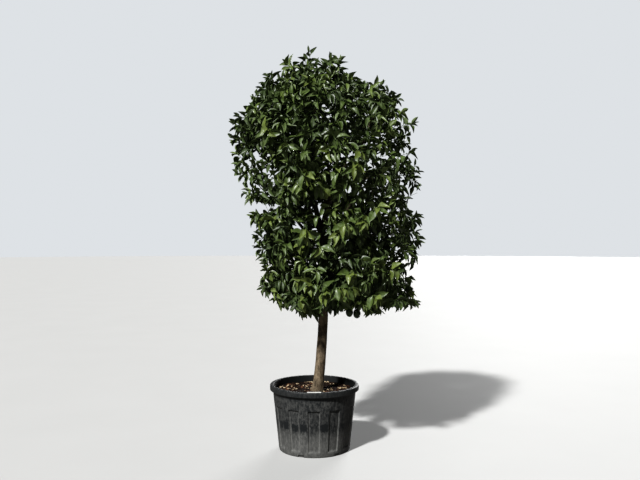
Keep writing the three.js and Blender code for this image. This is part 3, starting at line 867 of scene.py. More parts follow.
MIDDLES = mass_middles()
boughs = {}
for mass in MIDDLES:
    boughs[mass] = bough_curve(mass)
bough_bark = build_boughs()
bough_bark.data.materials.append(bark_material("bough_bark", *BOUGH_BARK, 1.5, 0.45))
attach(bough_bark, "root")
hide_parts(*[f"{tier}_bough_{index + 1}" for tier, index in boughs])


# Twigs grow on from the end of each bough by one rule: each shoot tip joins the twig that reaches it by the
# shortest and straightest way, and a twig is as thick as the shoots it carries need. They are green while
# they are young, and turn grey-brown. Low in the crown they arch over, and in its top they stand up.
SHOOT_COUNT = 1240
SHOOTS_PER_MASS = 78
SHOOT_SPACING = 0.15
# Some measures are one thing on the crown's flank and another in its top, and change between two heights.
# This is how far shoot tips keep below the crown's surface: on the flank, in the top, and the two heights
TOP_CLEARANCE = (0.050, 0.135, 2.20, 2.70)
# How far shoot tips keep inside the crown's side, in leaf lengths, and the size and depth of its hollows
SIDE_CLEARANCE = 0.4
HOLLOW_SIZE = 0.20
HOLLOW_DEPTH = 0.22
# A place's worth in the crown's heart, against 1 more on its face, and the share of its airiness taken off
HEART_WORTH = 0.3
AIRY_LOSS = 0.5
# How many of the shoots are leaders that reach the crown's face all round, besides those in its outline
FACE_SHOOTS = 110
# How far a leader's last leaf stands out of it, and how far apart leaders are, by height as above
LEADER_LEAF = 0.055
LEADER_ROOM = (0.09, 0.15, 2.15, 2.50)
# A leader points away from a spot in the crown's heart, up to the rise below its aim, within these heights
HEART_X = 0.06
LEADER_RISE = 0.42
HEART_SPAN = (1.25, 2.45)
# The depth from front to back that the outline's leaders share, at most and as a share of the crown's radius
OUTLINE_DEPTH = 0.26
OUTLINE_DEPTH_SHARE = 0.8
# How far a leader's aim stays inside its mass's space, and how far it may stand out of the crown
AIM_MARGIN = 0.004
AIM_REACH = 0.012
STEM_LENGTH = 0.055
TWIG_RADIUS = 0.0012
TWIG_SIDES = 6
TWIG_STEPS = 6
TWIG_BOW = 0.16
LEADER_BOW = 0.45
# How thick a twig is at most, against the one that carries it, and how thick the end of a twig and of a young
# shoot is, against its foot
CARRIED_SHARE = 0.9
END_SHARE = 0.82
SHOOT_END_SHARE = 0.85
# What a turn and a long run from the stem add to a way's length, when a shoot looks for what carries it
TURN_COST = 0.7
RUN_COST = 0.2
SPACE_MARGIN = 0.006
LIMB_MARGIN = 0.006
# Heights between which the leaves' droop and the twigs' arch change, with both as shares of their length
HANGING = {"z": 1.0, "droop": 0.85, "arch": 0.16}
UPRIGHT = {"z": 2.75, "droop": 0.10, "arch": -0.12}
LEAF_LENGTH = 0.082
LEAF_WIDTH = 0.029
# How many times a leader is tried, and how many places each other shoot is picked from in this box
LEADER_TRIES = 80
PLACE_CHOICES = 16
CROWN_BOX = ((-0.65, 0.80), (-0.72, 0.72), (0.90, 2.82))
# Leaf tips that stand out in the crown's outline, as x and z
OUTLINE_TIPS = [
    (-0.046, 2.832), (-0.208, 2.768), (0.187, 2.768), (0.504, 2.594), (-0.370, 2.618), (-0.560, 2.408),
    (0.658, 2.478), (0.742, 2.300), (-0.609, 2.092), (0.775, 2.020), (-0.572, 1.950), (0.778, 1.858),
    (-0.474, 1.634), (0.770, 1.494), (-0.412, 1.106), (0.745, 1.004), (0.020, 0.905), (0.262, 2.690),
    (-0.533, 1.800), (0.772, 1.640), (-0.440, 1.330), (0.700, 1.190), (-0.235, 0.985), (0.470, 0.950),
    (-0.595, 2.284), (-0.449, 2.482), (-0.444, 1.421), (0.744, 2.123),
]
# Openings through the crown as they are seen from eye height in front: x, z, width and height
EYE_DISTANCE = 4.860
EYE_HEIGHT = 1.460
WINDOWS = [(-0.400, 1.697, 0.350, 0.072), (-0.115, 1.560, 0.110, 0.070), (0.268, 0.945, 0.210, 0.110)]
# Parts of the crown that are airier than the rest: x and z, half width and height, and how full they are
AIRY_PARTS = [
    (0.50, 2.00, 0.30, 0.36, 0.46), (0.32, 2.16, 0.48, 0.40, 0.74), (-0.42, 1.90, 0.24, 0.24, 0.52),
    (0.58, 1.52, 0.22, 0.26, 0.62), (0.045, 1.595, 0.085, 0.20, 0.25),
]
TWIG_GREEN = (0.075, 0.115, 0.030, 1)
TWIG_BROWN = ((0.050, 0.042, 0.024, 1), (0.165, 0.140, 0.085, 1))


def seen_from_eye(spot):
    nearer = EYE_DISTANCE / (EYE_DISTANCE + spot[1])
    return spot[0] * nearer, EYE_HEIGHT + (spot[2] - EYE_HEIGHT) * nearer


def in_window(spot):
    x, z = seen_from_eye(spot)
    for middle_x, middle_z, width, height in WINDOWS:
        if math.hypot((x - middle_x) * 2 / width, (z - middle_z) * 2 / height) < 1:
            return True
    return False


def fullness(spot):
    """1 where the crown is full, and less in its airy parts."""
    least = 1
    for x, z, half_width, half_height, share in AIRY_PARTS:
        out = math.hypot((spot[0] - x) / half_width, (spot[2] - z) / half_height)
        least = min(least, mix(share, 1, smooth_step(0.6, 1.2, out)))
    return least


def outside_by(x, y, z):
    """How far a point is out of the crown's side or top."""
    crown = crown_at(z)
    if crown is None:
        return z - CROWN_TOP if z > CROWN_TOP else math.inf
    return math.hypot(x - crown[0], y) - crown[1]


def sticks_out(spot, reach):
    """True if a point is out of the crown by more than the reach, or looks so from the eye."""
    seen_x, seen_z = seen_from_eye(spot)
    return outside_by(*spot) > reach or (spot[1] < 0 and outside_by(seen_x, 0, seen_z) > reach)


def mass_at(spot, margin):
    """The mass whose space holds this point, at least the margin inside it."""
    nearest = min(MIDDLES, key=lambda mass: (MIDDLES[mass] - spot).length_squared)
    return nearest if in_own_space(nearest, spot, margin) else None


def by_height(measure, z):
    """A measure that changes between two heights, from the crown's flank to its top."""
    on_flank, in_top, low, high = measure
    return mix(on_flank, in_top, smooth_step(low, high, z))


def surface_share(spot):
    """How far out a shoot may reach here, as a share of the crown's radius: the crown's face has hollows."""
    return 0.97 - HOLLOW_DEPTH * clamped(0.5 + 0.9 * noise.noise(spot / HOLLOW_SIZE))


def nearest_squared(points, spot):
    """The square of the way from a spot to the nearest of an array of points."""
    return ((points - np.array(spot)) ** 2).sum(1).min()


def suits_shoot(spot):
    """True if a common shoot may end here, behind the crown's face and below its top."""
    middle, radius = crown_at(spot.z)
    inward = radius - math.hypot(spot.x - middle, spot.y)
    if inward < SIDE_CLEARANCE * LEAF_LENGTH or shell_at(spot) > surface_share(spot):
        return False
    return shell_at(spot + Vector((0, 0, by_height(TOP_CLEARANCE, spot.z)))) <= 1


def plant_tips(roll):
    """Shoot tips for each mass: first those whose leaves make the outline, then others spread evenly."""
    tips = {mass: [] for mass in MIDDLES}
    planted = np.full((SHOOT_COUNT, 3), 1e3)
    count = 0

    def plant(tip, aim):
        nonlocal count
        mass = mass_at(tip, SPACE_MARGIN)
        if mass is None or in_window(tip) or (aim and not in_own_space(mass, aim, AIM_MARGIN)):
            return False
        tips[mass].append((tip, aim))
        planted[count] = tip
        count += 1
        return True

    def plant_leader(place_aim):
        """A shoot whose end leaf reaches a point on the crown's face."""
        lowest, highest = HEART_SPAN
        for _ in range(LEADER_TRIES):
            aim = place_aim()
            heart = Vector((HEART_X, 0, min(max(aim.z - LEADER_RISE * roll(), lowest), highest)))
            tip = aim + (heart - aim).normalized() * LEADER_LEAF
            apart = math.sqrt(nearest_squared(planted, tip))
            if apart > by_height(LEADER_ROOM, aim.z) and not sticks_out(aim, AIM_REACH) and plant(tip, aim):
                break

    for x, z in OUTLINE_TIPS:
        depth = min(OUTLINE_DEPTH, OUTLINE_DEPTH_SHARE * crown_at(z)[1])
        plant_leader(lambda: Vector((x, (roll() - 0.5) * depth, z)))

    def place_on_face():
        z = mix(CROWN_LOW + 0.04, CROWN_TOP - 0.06, roll())
        angle = 2 * math.pi * roll()
        middle, radius = crown_at(z)
        return Vector((middle + radius * math.cos(angle), radius * math.sin(angle), z))

    for _ in range(FACE_SHOOTS):
        plant_leader(place_on_face)

    while count < SHOOT_COUNT:
        best, best_worth = None, 0
        found = 0
        while found < PLACE_CHOICES:
            spot = Vector([mix(low, high, roll()) for low, high in CROWN_BOX])
            if not suits_shoot(spot):
                continue
            found += 1
            mass = mass_at(spot, SPACE_MARGIN)
            if mass is None or len(tips[mass]) >= SHOOTS_PER_MASS or in_window(spot):
                continue
            apart = min(SHOOT_SPACING, math.sqrt(nearest_squared(planted, spot)))
            worth = apart * (HEART_WORTH + shell_at(spot)) * mix(1, fullness(spot), AIRY_LOSS)
            if worth > best_worth:
                best, best_worth = spot, worth
        if best:
            plant(best, None)
    return tips


def limb_spots():
    """Points along the trunk and boughs with the limb's radius at each, to keep twigs and leaves clear."""
    shares = [i / 48 for i in range(49)]
    spots = [(*curve_point(TRUNK_CURVE, t), trunk_radius(t)) for t in shares]
    for (tier, _), curve in boughs.items():
        spots += [(*curve_point(curve, t), bough_radius(tier, t)) for t in shares]
    return np.array(spots)


def touches_limb(spots, margin=LIMB_MARGIN):
    for spot in spots:
        gaps = np.linalg.norm(LIMB_SPOTS[:, :3] - np.array(spot), axis=1) - LIMB_SPOTS[:, 3]
        if gaps.min() < margin:
            return True
    return False


def height_share(z):
    return clamped((z - HANGING["z"]) / (UPRIGHT["z"] - HANGING["z"]))


def grow_twigs(mass, tips):
    """The stem and twigs of one mass, each with its line, its carrier and the number of shoots it carries."""
    _, bow, end = boughs[mass]
    way = (end - bow).normalized()
    rise = mix(HANGING["arch"], UPRIGHT["arch"], height_share(MIDDLES[mass].z))
    stem = {"line": [end - way * 0.004, end + way * STEM_LENGTH], "carrier": None, "load": 0, "aim": None}
    joints = [(stem["line"][1], way, 0.0, stem)]
    twigs = [stem]
    for tip, aim in sorted(tips, key=lambda pair: (pair[0] - stem["line"][1]).length):
        def cost(joint):
            spot, joint_way, run, _ = joint
            to_tip = tip - spot
            turning = 1 + TURN_COST - TURN_COST * joint_way.dot(to_tip.normalized())
            return to_tip.length * turning + RUN_COST * run

        spot, joint_way, run, carrier = min(joints, key=cost)
        span = (tip - spot).length
        arch = Vector((0, 0, rise * span))
        curve = (spot, spot.lerp(tip, 0.5) + joint_way * (TWIG_BOW * span) + arch, tip)
        if aim:
            curve = (spot, tip - (aim - tip).normalized() * (LEADER_BOW * span), tip)
        # A twig whose bow would leave the mass's space sags instead, or else is straight
        for other_bow in (-arch, Vector()):
            if not in_own_space(mass, curve[1], 0):
                curve = (spot, spot.lerp(tip, 0.5) + other_bow, tip)
        line = curve_line(curve, TWIG_STEPS)
        if touches_limb(line[2:]):
            continue
        twig = {"line": line, "curve": curve, "span": span, "carrier": carrier, "load": 0, "aim": aim}
        on = twig
        while on:
            on["load"] += 1
            on = on["carrier"]
        for i in range(2, TWIG_STEPS + 1, 2):
            joints.append((line[i], (line[i] - line[i - 1]).normalized(), run + span * i / TWIG_STEPS, twig))
        twigs.append(twig)
    return twigs


def twig_thickness(twig):
    own = TWIG_RADIUS * max(twig["load"], 1) ** 0.5
    return min(own, CARRIED_SHARE * twig_thickness(twig["carrier"])) if twig["carrier"] else own


def twig_lines():
    """All twigs as one mesh of edges, with each point's thickness."""
    points = []
    edges = []
    thickness = []
    for twig in all_twigs:
        foot = twig_thickness(twig)
        tip = TWIG_RADIUS * SHOOT_END_SHARE if twig["load"] <= 1 else END_SHARE * foot
        steps = len(twig["line"]) - 1
        for i, spot in enumerate(twig["line"]):
            if i:
                edges.append((len(points) - 1, len(points)))
            points.append(tuple(spot))
            thickness.append(mix(foot, tip, i / steps))
    return marked_mesh("twigs", points, edges, thickness=("FLOAT", thickness))


def marked_mesh(name, points, edges, **marks):
    """A mesh of points and edges for a tree to work on, with a value of some kind at each point."""
    mesh = bpy.data.meshes.new(name)
    mesh.from_pydata(points, edges, [])
    for label, (kind, values) in marks.items():
        layer = mesh.attributes.new(label, kind, "POINT")
        layer.data.foreach_set("vector" if kind == "FLOAT_VECTOR" else "value", values)
    return mesh


def mark_at(tree, label, kind):
    return Node(tree, "GeometryNodeInputNamedAttribute", {"Name": label}, data_type=kind)[0]


def twig_tree():
    """Gives lines of points a round skin, as thick as their thickness says."""
    inputs = {"Geometry": "Geometry", "Sides": 6, "Material": "Material"}
    tree, given, result = new_group("twig_skin", "GeometryNodeTree", inputs, {"Geometry": "Geometry"})
    ring = Node(tree, "GeometryNodeCurvePrimitiveCircle", {"Resolution": given["Sides"], "Radius": 1.0})[0]
    skin = Node(tree, "GeometryNodeCurveToMesh", {
        "Curve": Node(tree, "GeometryNodeMeshToCurve", {"Mesh": given["Geometry"]})[0],
        "Profile Curve": ring,
        "Scale": mark_at(tree, "thickness", "FLOAT"),
        "Fill Caps": True,
    })[0]
    fill(result, {0: make_real(skin, given["Material"])})
    return tree


def twig_material():
    material, shader, where = new_material("young_bark", Roughness=0.6, Specular_IOR_Level=0.4)
    bark = use_group(weathering, {"Vector": where, "Fineness": 3.0})
    brown = blend_colors(spread(bark["Tone"], 0.34, 0.78), *TWIG_BROWN)
    thick = Node(where.tree, "ShaderNodeAttribute", attribute_name="thickness")["Fac"]
    age = spread(thick, 1.6 * TWIG_RADIUS, 3.2 * TWIG_RADIUS)
    fill(shader, {"Base Color": blend_colors(age, TWIG_GREEN, brown)})
    bump(shader, bark["Height"], 0.3, 0.0008)
    return material


LIMB_SPOTS = limb_spots()
shoot_tips = plant_tips(random.Random(11).random)
twigs_of = {mass: grow_twigs(mass, tips) for mass, tips in shoot_tips.items()}
all_twigs = [twig for twigs in twigs_of.values() for twig in twigs]
twig_piece = run_tree("twigs", twig_lines(), twig_tree(), {"Sides": TWIG_SIDES, "Material": twig_material()})
twig_piece.data.polygons.foreach_set("use_smooth", [True] * len(twig_piece.data.polygons))
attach(twig_piece, "root")
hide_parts(*[f"{tier}_foliage_{index + 1}" for tier, index in MIDDLES])


# The leaves stand round the end of each shoot in a whorl of a handful or two. Each is a leathery ellipse
# with a pointed tip, folded along its midrib, on a short stalk with a small wing. Its face is glossy dark
# green and its back paler and dull. A shoot's leaves are of one age and colour.
LEAF_THICKNESS = 0.012
LEAF_MARGIN = 0.004
LEAF_TRIES = 6
DROOP_SPREAD = 0.45
# In degrees: the turn from each leaf to the next, how much further every new try turns a leaf, how much the
# faces turn about their midribs, how far the end leaf leans off its twig, and how far any leaf does
LEAF_TURN = 137.5
TRY_TURN = 50
FACE_TURN = 110
END_LEAF_LEAN = 14
MOST_LEAN = 96
# How many leaves next to the end are smaller, and how much leaves differ in length and in width
YOUNG_LEAVES = 4
LENGTHS = (0.84, 1.16)
WIDTHS = (0.88, 1.20)
# A leader's end leaf is at most this long, in leaf lengths, and a leaf is widest at this share of its length
END_LEAF_LENGTH = 1.25
WIDEST_SHARE = 0.55
# The share of a twig from its foot that stays bare, and the share over which its way is taken
BARE_SHARE = 0.1
WAY_SHARE = 0.08
# For each kind of shoot, how many leaves it has at most, how far apart, how far they lean near the end and how
# much more with each leaf from there, the size of its youngest, the room round each, and how far a tip may
# hang over into the next mass's space. A leader stands out of the crown, and its leaves arch down.
SHOOT_KINDS = {
    "shoot": (12, 0.0100, 34, 6.0, 0.72, 0.0150, 0.030),
    "leader": (20, 0.0092, 28, 8.0, 0.82, 0.013, 0.090),
}
MOST_LEAVES = max(kind[0] for kind in SHOOT_KINDS.values())
# How much likelier a shoot is to be light far out in the crown and dark in its heart, which is painted shade,
# and to be dark high up in it
PAINTED_INNER_SHADE = 0.25
HIGHER_DARKER = 0.12
# How much a leaf's face looks up and out
LOOK_UP = 0.85
LOOK_OUT = 0.75
# A fresh shoot below the crown's top has larger leaves that hang with their faces out
FRESH_GROWTH = {"highest": 2.25, "length": 1.16, "width": 1.46, "droop": 0.4, "look_up": 0.3}
FRESH_LEAVES = 3
# Where fresh shoots show at the front, as x and z at the trunk's distance, and how near a shoot must be
FRESH_PLACES = [
    (-0.212, 2.197), (0.303, 2.100), (0.173, 2.002), (0.094, 1.904), (-0.010, 1.839), (-0.258, 1.826),
    (0.088, 1.709), (0.387, 1.715), (0.290, 1.676), (-0.088, 1.630), (0.120, 1.526), (0.225, 1.552),
    (0.368, 1.513), (-0.016, 1.396), (-0.160, 1.227), (-0.075, 1.187), (0.075, 1.266), (0.173, 1.181),
    (0.290, 1.123), (0.134, 0.999), (0.401, 1.057), (-0.427, 2.497), (-0.088, 2.673),
    (-0.067, 2.152), (-0.265, 2.114), (0.085, 2.015), (0.348, 1.925), (-0.076, 1.373), (0.461, 1.383),
]
FRESH_NEARNESS = 0.11
# How far leaves may reach out of the crown's even outline: a leader's, by height as above, and a common
# shoot's least and most, as the relief of the crown's face has it, and how much less far in the crown's top
LEADER_REACH = (0.050, 0.085, 2.40, 2.70)
LEAF_REACH = (-0.110, 0.050)
RELIEF_SIZE = 0.085
TOP_SINK = (0, 0.055, 2.35, 2.65)
# The rows of a leaf from its joint to its tip, with half its width at each as a share of its full width
LEAF_ROWS = [
    (0.0, 0.016), (0.07, 0.105), (0.12, 0.028), (0.20, 0.27),
    (0.34, 0.45), (0.53, 0.49), (0.73, 0.37), (0.89, 0.17),
]
# Each shape's fold at the edges, the fall of its tip and its twist, the first two as shares of its length
LEAF_SHAPES = [
    (0.13, 0.05, 0.0), (0.22, 0.18, 0.2), (0.17, 0.30, -0.3),
    (0.27, 0.12, 0.35), (0.23, 0.38, -0.1), (0.19, 0.24, 0.1),
]
# Each colour's share of the shoots, with the leaf's face and back
LEAF_COLORS = {
    "leaves_deep": (0.27, (0.034, 0.055, 0.015, 1), (0.078, 0.108, 0.045, 1)),
    "leaves_dark": (0.26, (0.048, 0.075, 0.019, 1), (0.096, 0.132, 0.054, 1)),
    "leaves_green": (0.26, (0.070, 0.107, 0.026, 1), (0.115, 0.156, 0.061, 1)),
    "leaves_light": (0.17, (0.098, 0.142, 0.031, 1), (0.138, 0.180, 0.065, 1)),
    # The fresh colour is partly the paler green of young leaves and partly painted light, for sun shining
    # through them.
    "leaves_fresh": (0.045, (0.120, 0.162, 0.036, 1), (0.150, 0.192, 0.066, 1)),
}
# How glossy each side of a leaf is, how strongly its veins show, and its least and greatest roughness
FACE_FINISH = (0.5, 0.5, 0.32, 0.48)
BACK_FINISH = (0.3, 0.3, 0.62, 0.8)


def leaf_shape(index, fold, fall, twist):
    """A leaf of unit length and width along Y with its face up. Its face and its back share its edges."""
    points = []
    for share, half in LEAF_ROWS:
        lift = fold * half * 2 * (1 + 0.25 * math.sin(9 * share + index))
        drop = -fall * share * share
        turn = twist * share
        for x in (-half, half):
            points.append((x * math.cos(turn), share, drop + lift + x * math.sin(turn) * 0.4))
        points += [(0, share, drop), (0, share, drop - LEAF_THICKNESS)]
    tip = len(points)
    points.append((0, 1.0, -fall))
    faces = [(0, 3, 1, 2)]
    rims = {(tip - 4, tip), (tip - 3, tip)}
    for left in range(0, tip - 4, 4):
        right, rib, back = left + 1, left + 2, left + 3
        sides = [(left, rib), (rib, right), (back, left), (right, back)]
        faces += [(a, b, b + 4, a + 4) for a, b in sides]
        rims |= {(left, left + 4), (right, right + 4)}
    faces += [(a + 4, b + 4, tip) for a, b in sides]
    piece = add_mesh(f"leaf_{index}", points, faces)
    mesh = piece.data
    is_back = [False] + [i % 4 > 1 for i in range(len(faces) - 1)]
    mesh.attributes.new("back", "BOOLEAN", "FACE").data.foreach_set("value", is_back)
    layer = mesh.uv_layers.new(name="leaf")
    for loop, spot in zip(mesh.loops, layer.data):
        x, y, _ = points[loop.vertex_index]
        spot.uv = (x + 0.5, y)
    for edge in mesh.edges:
        edge.use_edge_sharp = tuple(sorted(edge.vertices)) in rims
    return piece


def leaf_tree():
    """Sets a leaf on each point, turned and sized as the point says, with materials for its face and back."""
    inputs = {"Geometry": "Geometry", "Leaves": "Collection", "Face": "Material", "Back": "Material"}
    tree, given, result = new_group("leaf_setting", "GeometryNodeTree", inputs, {"Geometry": "Geometry"})
    points = Node(tree, "GeometryNodeMeshToPoints", {"Mesh": given["Geometry"]})[0]
    turn, size = mark_at(tree, "turn", "FLOAT_VECTOR"), mark_at(tree, "size", "FLOAT_VECTOR")
    leaves = set_on_points(points, given["Leaves"], turn, size, mark_at(tree, "shape", "INT"))
    backs = Node(tree, "GeometryNodeSetMaterial", {
        0: make_real(leaves, given["Face"]),
        "Selection": mark_at(tree, "back", "BOOLEAN"),
        "Material": given["Back"],
    })
    fill(result, {0: backs[0]})
    return tree


def leaf_veins():
    """A leaf's colour with its paler midrib and side veins, and the height of the blade between them."""
    inputs = {"Vector": "Vector", "Leaf": "Vector", "Blade": (0.03, 0.07, 0.015, 1), "Contrast": 0.5}
    outputs = {"Color": "Color", "Height": "Float", "Dullness": "Float"}
    tree, given, result = new_group("leaf_veins", "ShaderNodeTree", inputs, outputs)
    across, along, _ = split(given["Leaf"])
    side = abs(across - 0.5)
    vein = spread((along * 19.0 - side * 13.0).math("PINGPONG", 0.5), 0.0, 0.13, 1.0, 0.0)
    vein = vein * spread(along, 0.16, 0.22)
    ribs = spread(side, 0.012, 0.035, 1.0, 0.0).math("MAXIMUM", vein * 0.35)
    tone = spread(noise_at(given["Vector"], 34.0, 3.0, 0.6), 0.3, 0.7, 0.80, 1.22)
    toned = given["Blade"].scaled(tone)
    fill(result, {
        "Color": blend_colors(ribs * given["Contrast"], toned, toned.scaled((2.3, 1.9, 2.2))),
        "Height": ribs * -1.0,
        "Dullness": noise_at(given["Vector"], 90.0, 2.0),
    })
    return tree


def leaf_material(name, color, specular, contrast, dull, duller):
    """The face is glossier than the back. Roughness varies with the dust on the leaf."""
    material, shader, where = new_material(name, Specular_IOR_Level=specular)
    leaf = Node(where.tree, "ShaderNodeUVMap", uv_map="leaf")[0]
    blade = use_group(veins, {"Vector": where, "Leaf": leaf, "Blade": color, "Contrast": contrast})
    roughness = spread(blade["Dullness"], 0.3, 0.7, dull, duller)
    fill(shader, {"Base Color": blade["Color"], "Roughness": roughness})
    bump(shader, blade["Height"], 0.35, 0.0006)
    return material


def leaf_way(way, turn, lean, droop):
    """A leaf's way out from its twig, turned about it, leaning off it and drooping."""
    across = Vector((way.y, -way.x, 0.01)).normalized()
    across.rotate(Matrix.Rotation(turn, 3, way))
    along = way * math.cos(lean) + across * math.sin(lean)
    along.z -= droop
    return along.normalized()


def leaf_face(along, outward, turn, fresh):
    """A leaf looks up and outward, and a fresh one that hangs more outward."""
    face = Vector((0, 0, FRESH_GROWTH["look_up"] if fresh else LOOK_UP)) + outward * LOOK_OUT
    face = (face - along * face.dot(along)).normalized()
    face.rotate(Matrix.Rotation(turn, 3, along))
    return face


def has_room(spot, room):
    return leaf_count == 0 or nearest_squared(LEAF_MIDDLES[:leaf_count], spot) > room**2


def leaf_reach(tip, aim):
    """How far the leaves of a shoot may stand out of the crown's even outline."""
    if aim:
        return by_height(LEADER_REACH, aim.z)
    relief = clamped(0.55 + 1.4 * noise.noise(tip / RELIEF_SIZE))
    return mix(*LEAF_REACH, relief) - by_height(TOP_SINK, tip.z)


def leaf_fits(mass, foot, middle, blade, reach, room, overreach):
    """True if a leaf keeps to the crown and its mass's space, clear of openings, other leaves and limbs."""
    if any(sticks_out(spot, reach) or not in_own_space(mass, spot, -overreach) for spot in blade):
        return False
    if in_window(middle) or in_window(foot):
        return False
    return has_room(middle, room) and not touches_limb(blade, LEAF_MARGIN)


def set_leaves(mass, twig, color, roll):
    """Leaves round a shoot's end. One that would leave its space, crowd another or touch a limb is turned."""
    global leaf_count
    tip, curve, aim = twig["line"][-1], twig["curve"], twig["aim"]
    kind = SHOOT_KINDS["leader" if aim else "shoot"]
    count, spacing, side_lean, lean_step, youngest, room, overreach = kind
    reach = leaf_reach(tip, aim)
    droop = mix(HANGING["droop"], UPRIGHT["droop"], height_share(tip.z))
    long, wide = LEAF_LENGTH, LEAF_WIDTH
    fresh = color == "leaves_fresh" and tip.z < FRESH_GROWTH["highest"]
    if fresh:
        droop += FRESH_GROWTH["droop"]
        long, wide = LEAF_LENGTH * FRESH_GROWTH["length"], LEAF_WIDTH * FRESH_GROWTH["width"]
    first_turn = roll() * 2 * math.pi
    for k in range(count):
        t = 1 - (k * spacing + 0.001) / twig["span"]
        if t < BARE_SHARE:
            break
        foot = curve_point(curve, t)
        way = (foot - curve_point(curve, t - WAY_SHARE)).normalized()
        outward = Vector((foot.x - TRUNK_BOW.x, foot.y, 0)).normalized()
        lean = math.radians(END_LEAF_LEAN if k == 0 else min(side_lean + lean_step * k, MOST_LEAN))
        if roll() > fullness(foot):
            continue
        young = mix(youngest, 1.0, min(k / YOUNG_LEAVES, 1))
        own_droop = droop * (1 + DROOP_SPREAD * math.sin(first_turn + 2.4 * k))
        for attempt in range(LEAF_TRIES):
            turn = first_turn + math.radians(LEAF_TURN * k + TRY_TURN * attempt)
            along = leaf_way(way, turn, lean, own_droop)
            length = long * young * mix(*LENGTHS, roll())
            shape = int(roll() * len(LEAF_SHAPES))
            if aim and k == 0 and attempt == 0:
                along = aim - foot
                length = min(along.length, END_LEAF_LENGTH * LEAF_LENGTH)
                along.normalize()
                shape = 0
            face = leaf_face(along, outward, math.radians(FACE_TURN * (roll() - 0.5)), fresh)
            side = along.cross(face)
            width = wide * young * mix(*WIDTHS, roll())
            middle = foot + along * (WIDEST_SHARE * length)
            blade = [foot + along * length, middle + side * (width / 2), middle - side * (width / 2)]
            if leaf_fits(mass, foot, middle, blade, reach, room, overreach):
                LEAF_MIDDLES[leaf_count] = middle
                leaf_count += 1
                turned = Matrix((side, along, face)).transposed().to_euler()
                own = "leaves_green" if color == "leaves_fresh" and k > FRESH_LEAVES else color
                leaves[own].append((foot, turned, (width, length, length), shape))
                break


def leaf_points(name, settings):
    """The feet of the leaves of one colour, with each leaf's turn, size and shape."""
    feet, turns, sizes, kinds = zip(*settings)
    turns = ("FLOAT_VECTOR", [angle for turn in turns for angle in turn])
    sizes = ("FLOAT_VECTOR", [side for size in sizes for side in size])
    return marked_mesh(name, [tuple(foot) for foot in feet], [], turn=turns, size=sizes, shape=("INT", kinds))


def fresh_shoots():
    """For each fresh place at the front, the foremost shoot that shows near it."""
    found = set()
    for x, z in FRESH_PLACES:
        near = []
        for number, twig in enumerate(all_twigs):
            seen_x, seen_z = seen_from_eye(twig["line"][-1])
            out = math.hypot(seen_x - x, seen_z - z)
            if twig["carrier"] and out < FRESH_NEARNESS:
                near.append((twig["line"][-1].y + out, number))
        if near:
            found.add(min(near)[1])
    return {id(all_twigs[number]) for number in found}


def shoot_color(twig, roll):
    """Light leaves are more often on the outer and lower shoots, and deep green ones inside and above. The
    darker leaves inside the crown are painted shade.
    """
    if id(twig) in fresh_twigs:
        return "leaves_fresh"
    spot = twig["line"][-1]
    share = roll() - PAINTED_INNER_SHADE * (shell_at(spot) - 0.75) + HIGHER_DARKER * height_share(spot.z)
    for color, (part, _, _) in reversed(LEAF_COLORS.items()):
        if share < part:
            return color
        share -= part
    return "leaves_deep"


LEAF_MIDDLES = np.zeros((SHOOT_COUNT * MOST_LEAVES, 3))
leaf_count = 0
leaves = {color: [] for color in LEAF_COLORS}
fresh_twigs = fresh_shoots()
for number, (mass, twigs) in enumerate(twigs_of.items()):
    roll = random.Random(101 + 17 * number).random
    for twig in twigs[1:]:
        set_leaves(mass, twig, shoot_color(twig, roll), roll)

shapes = gather("leaf_shapes", [leaf_shape(i, *shape) for i, shape in enumerate(LEAF_SHAPES)])
setting = leaf_tree()
veins = leaf_veins()
for color, (_, face_color, back_color) in LEAF_COLORS.items():
    piece = run_tree(color, leaf_points(color, leaves[color]), setting, {
        "Leaves": shapes,
        "Face": leaf_material(color + "_face", face_color, *FACE_FINISH),
        "Back": leaf_material(color + "_back", back_color, *BACK_FINISH),
    })
    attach(piece, "root")
clear_away(shapes)


# Unripe fruit hang low at the front, each on a short green stalk with a small star of sepals. Their rind is
# hard, dark green to yellow-green and pitted with oil glands.
FRUIT_RADIUS = 0.025
FRUIT_STRETCH = 1.3
FRUIT_RINGS = 22
FRUIT_SIDES = 32
FRUIT_DENT = 0.0022
STALK_LENGTH = 0.045
STALK_RADIUS = 0.00192
STALK_SIDES = 8
STALK_STEPS = 10
STALK_SUNK = 0.002
SEPALS = 5
SEPAL_LENGTH = 0.0085
SEPAL_HALF_WIDTH = 0.0035
SEPAL_RISE = 0.0025
FRUIT_PLACES = [(0.238, -0.190, 0.972), (0.290, -0.168, 0.960), (0.141, -0.200, 1.012)]
FRUIT_GREENS = ((0.012, 0.028, 0.006, 1), (0.050, 0.085, 0.015, 1))


def fruit_rings(place):
    """An egg-round rind, drawn out along its height and sunk a little at the stalk."""
    points = []
    for ring in range(FRUIT_RINGS):
        angle = math.pi * (ring + 0.5) / FRUIT_RINGS
        radius = FRUIT_RADIUS * math.sin(angle) ** 0.92
        dent = FRUIT_DENT * math.exp(-((angle - math.pi) ** 2) * 9)
        z = -math.cos(angle) * FRUIT_RADIUS * FRUIT_STRETCH - dent
        points += [place + Vector(polar(radius, turn, z)) for turn in ring_angles(FRUIT_SIDES)]
    return points


def build_fruit():
    points = []
    faces = []
    for place in FRUIT_PLACES:
        faces += skin_faces(FRUIT_RINGS, FRUIT_SIDES, len(points))
        points += fruit_rings(Vector(place))
    return add_mesh("unripe_fruit", points, faces)


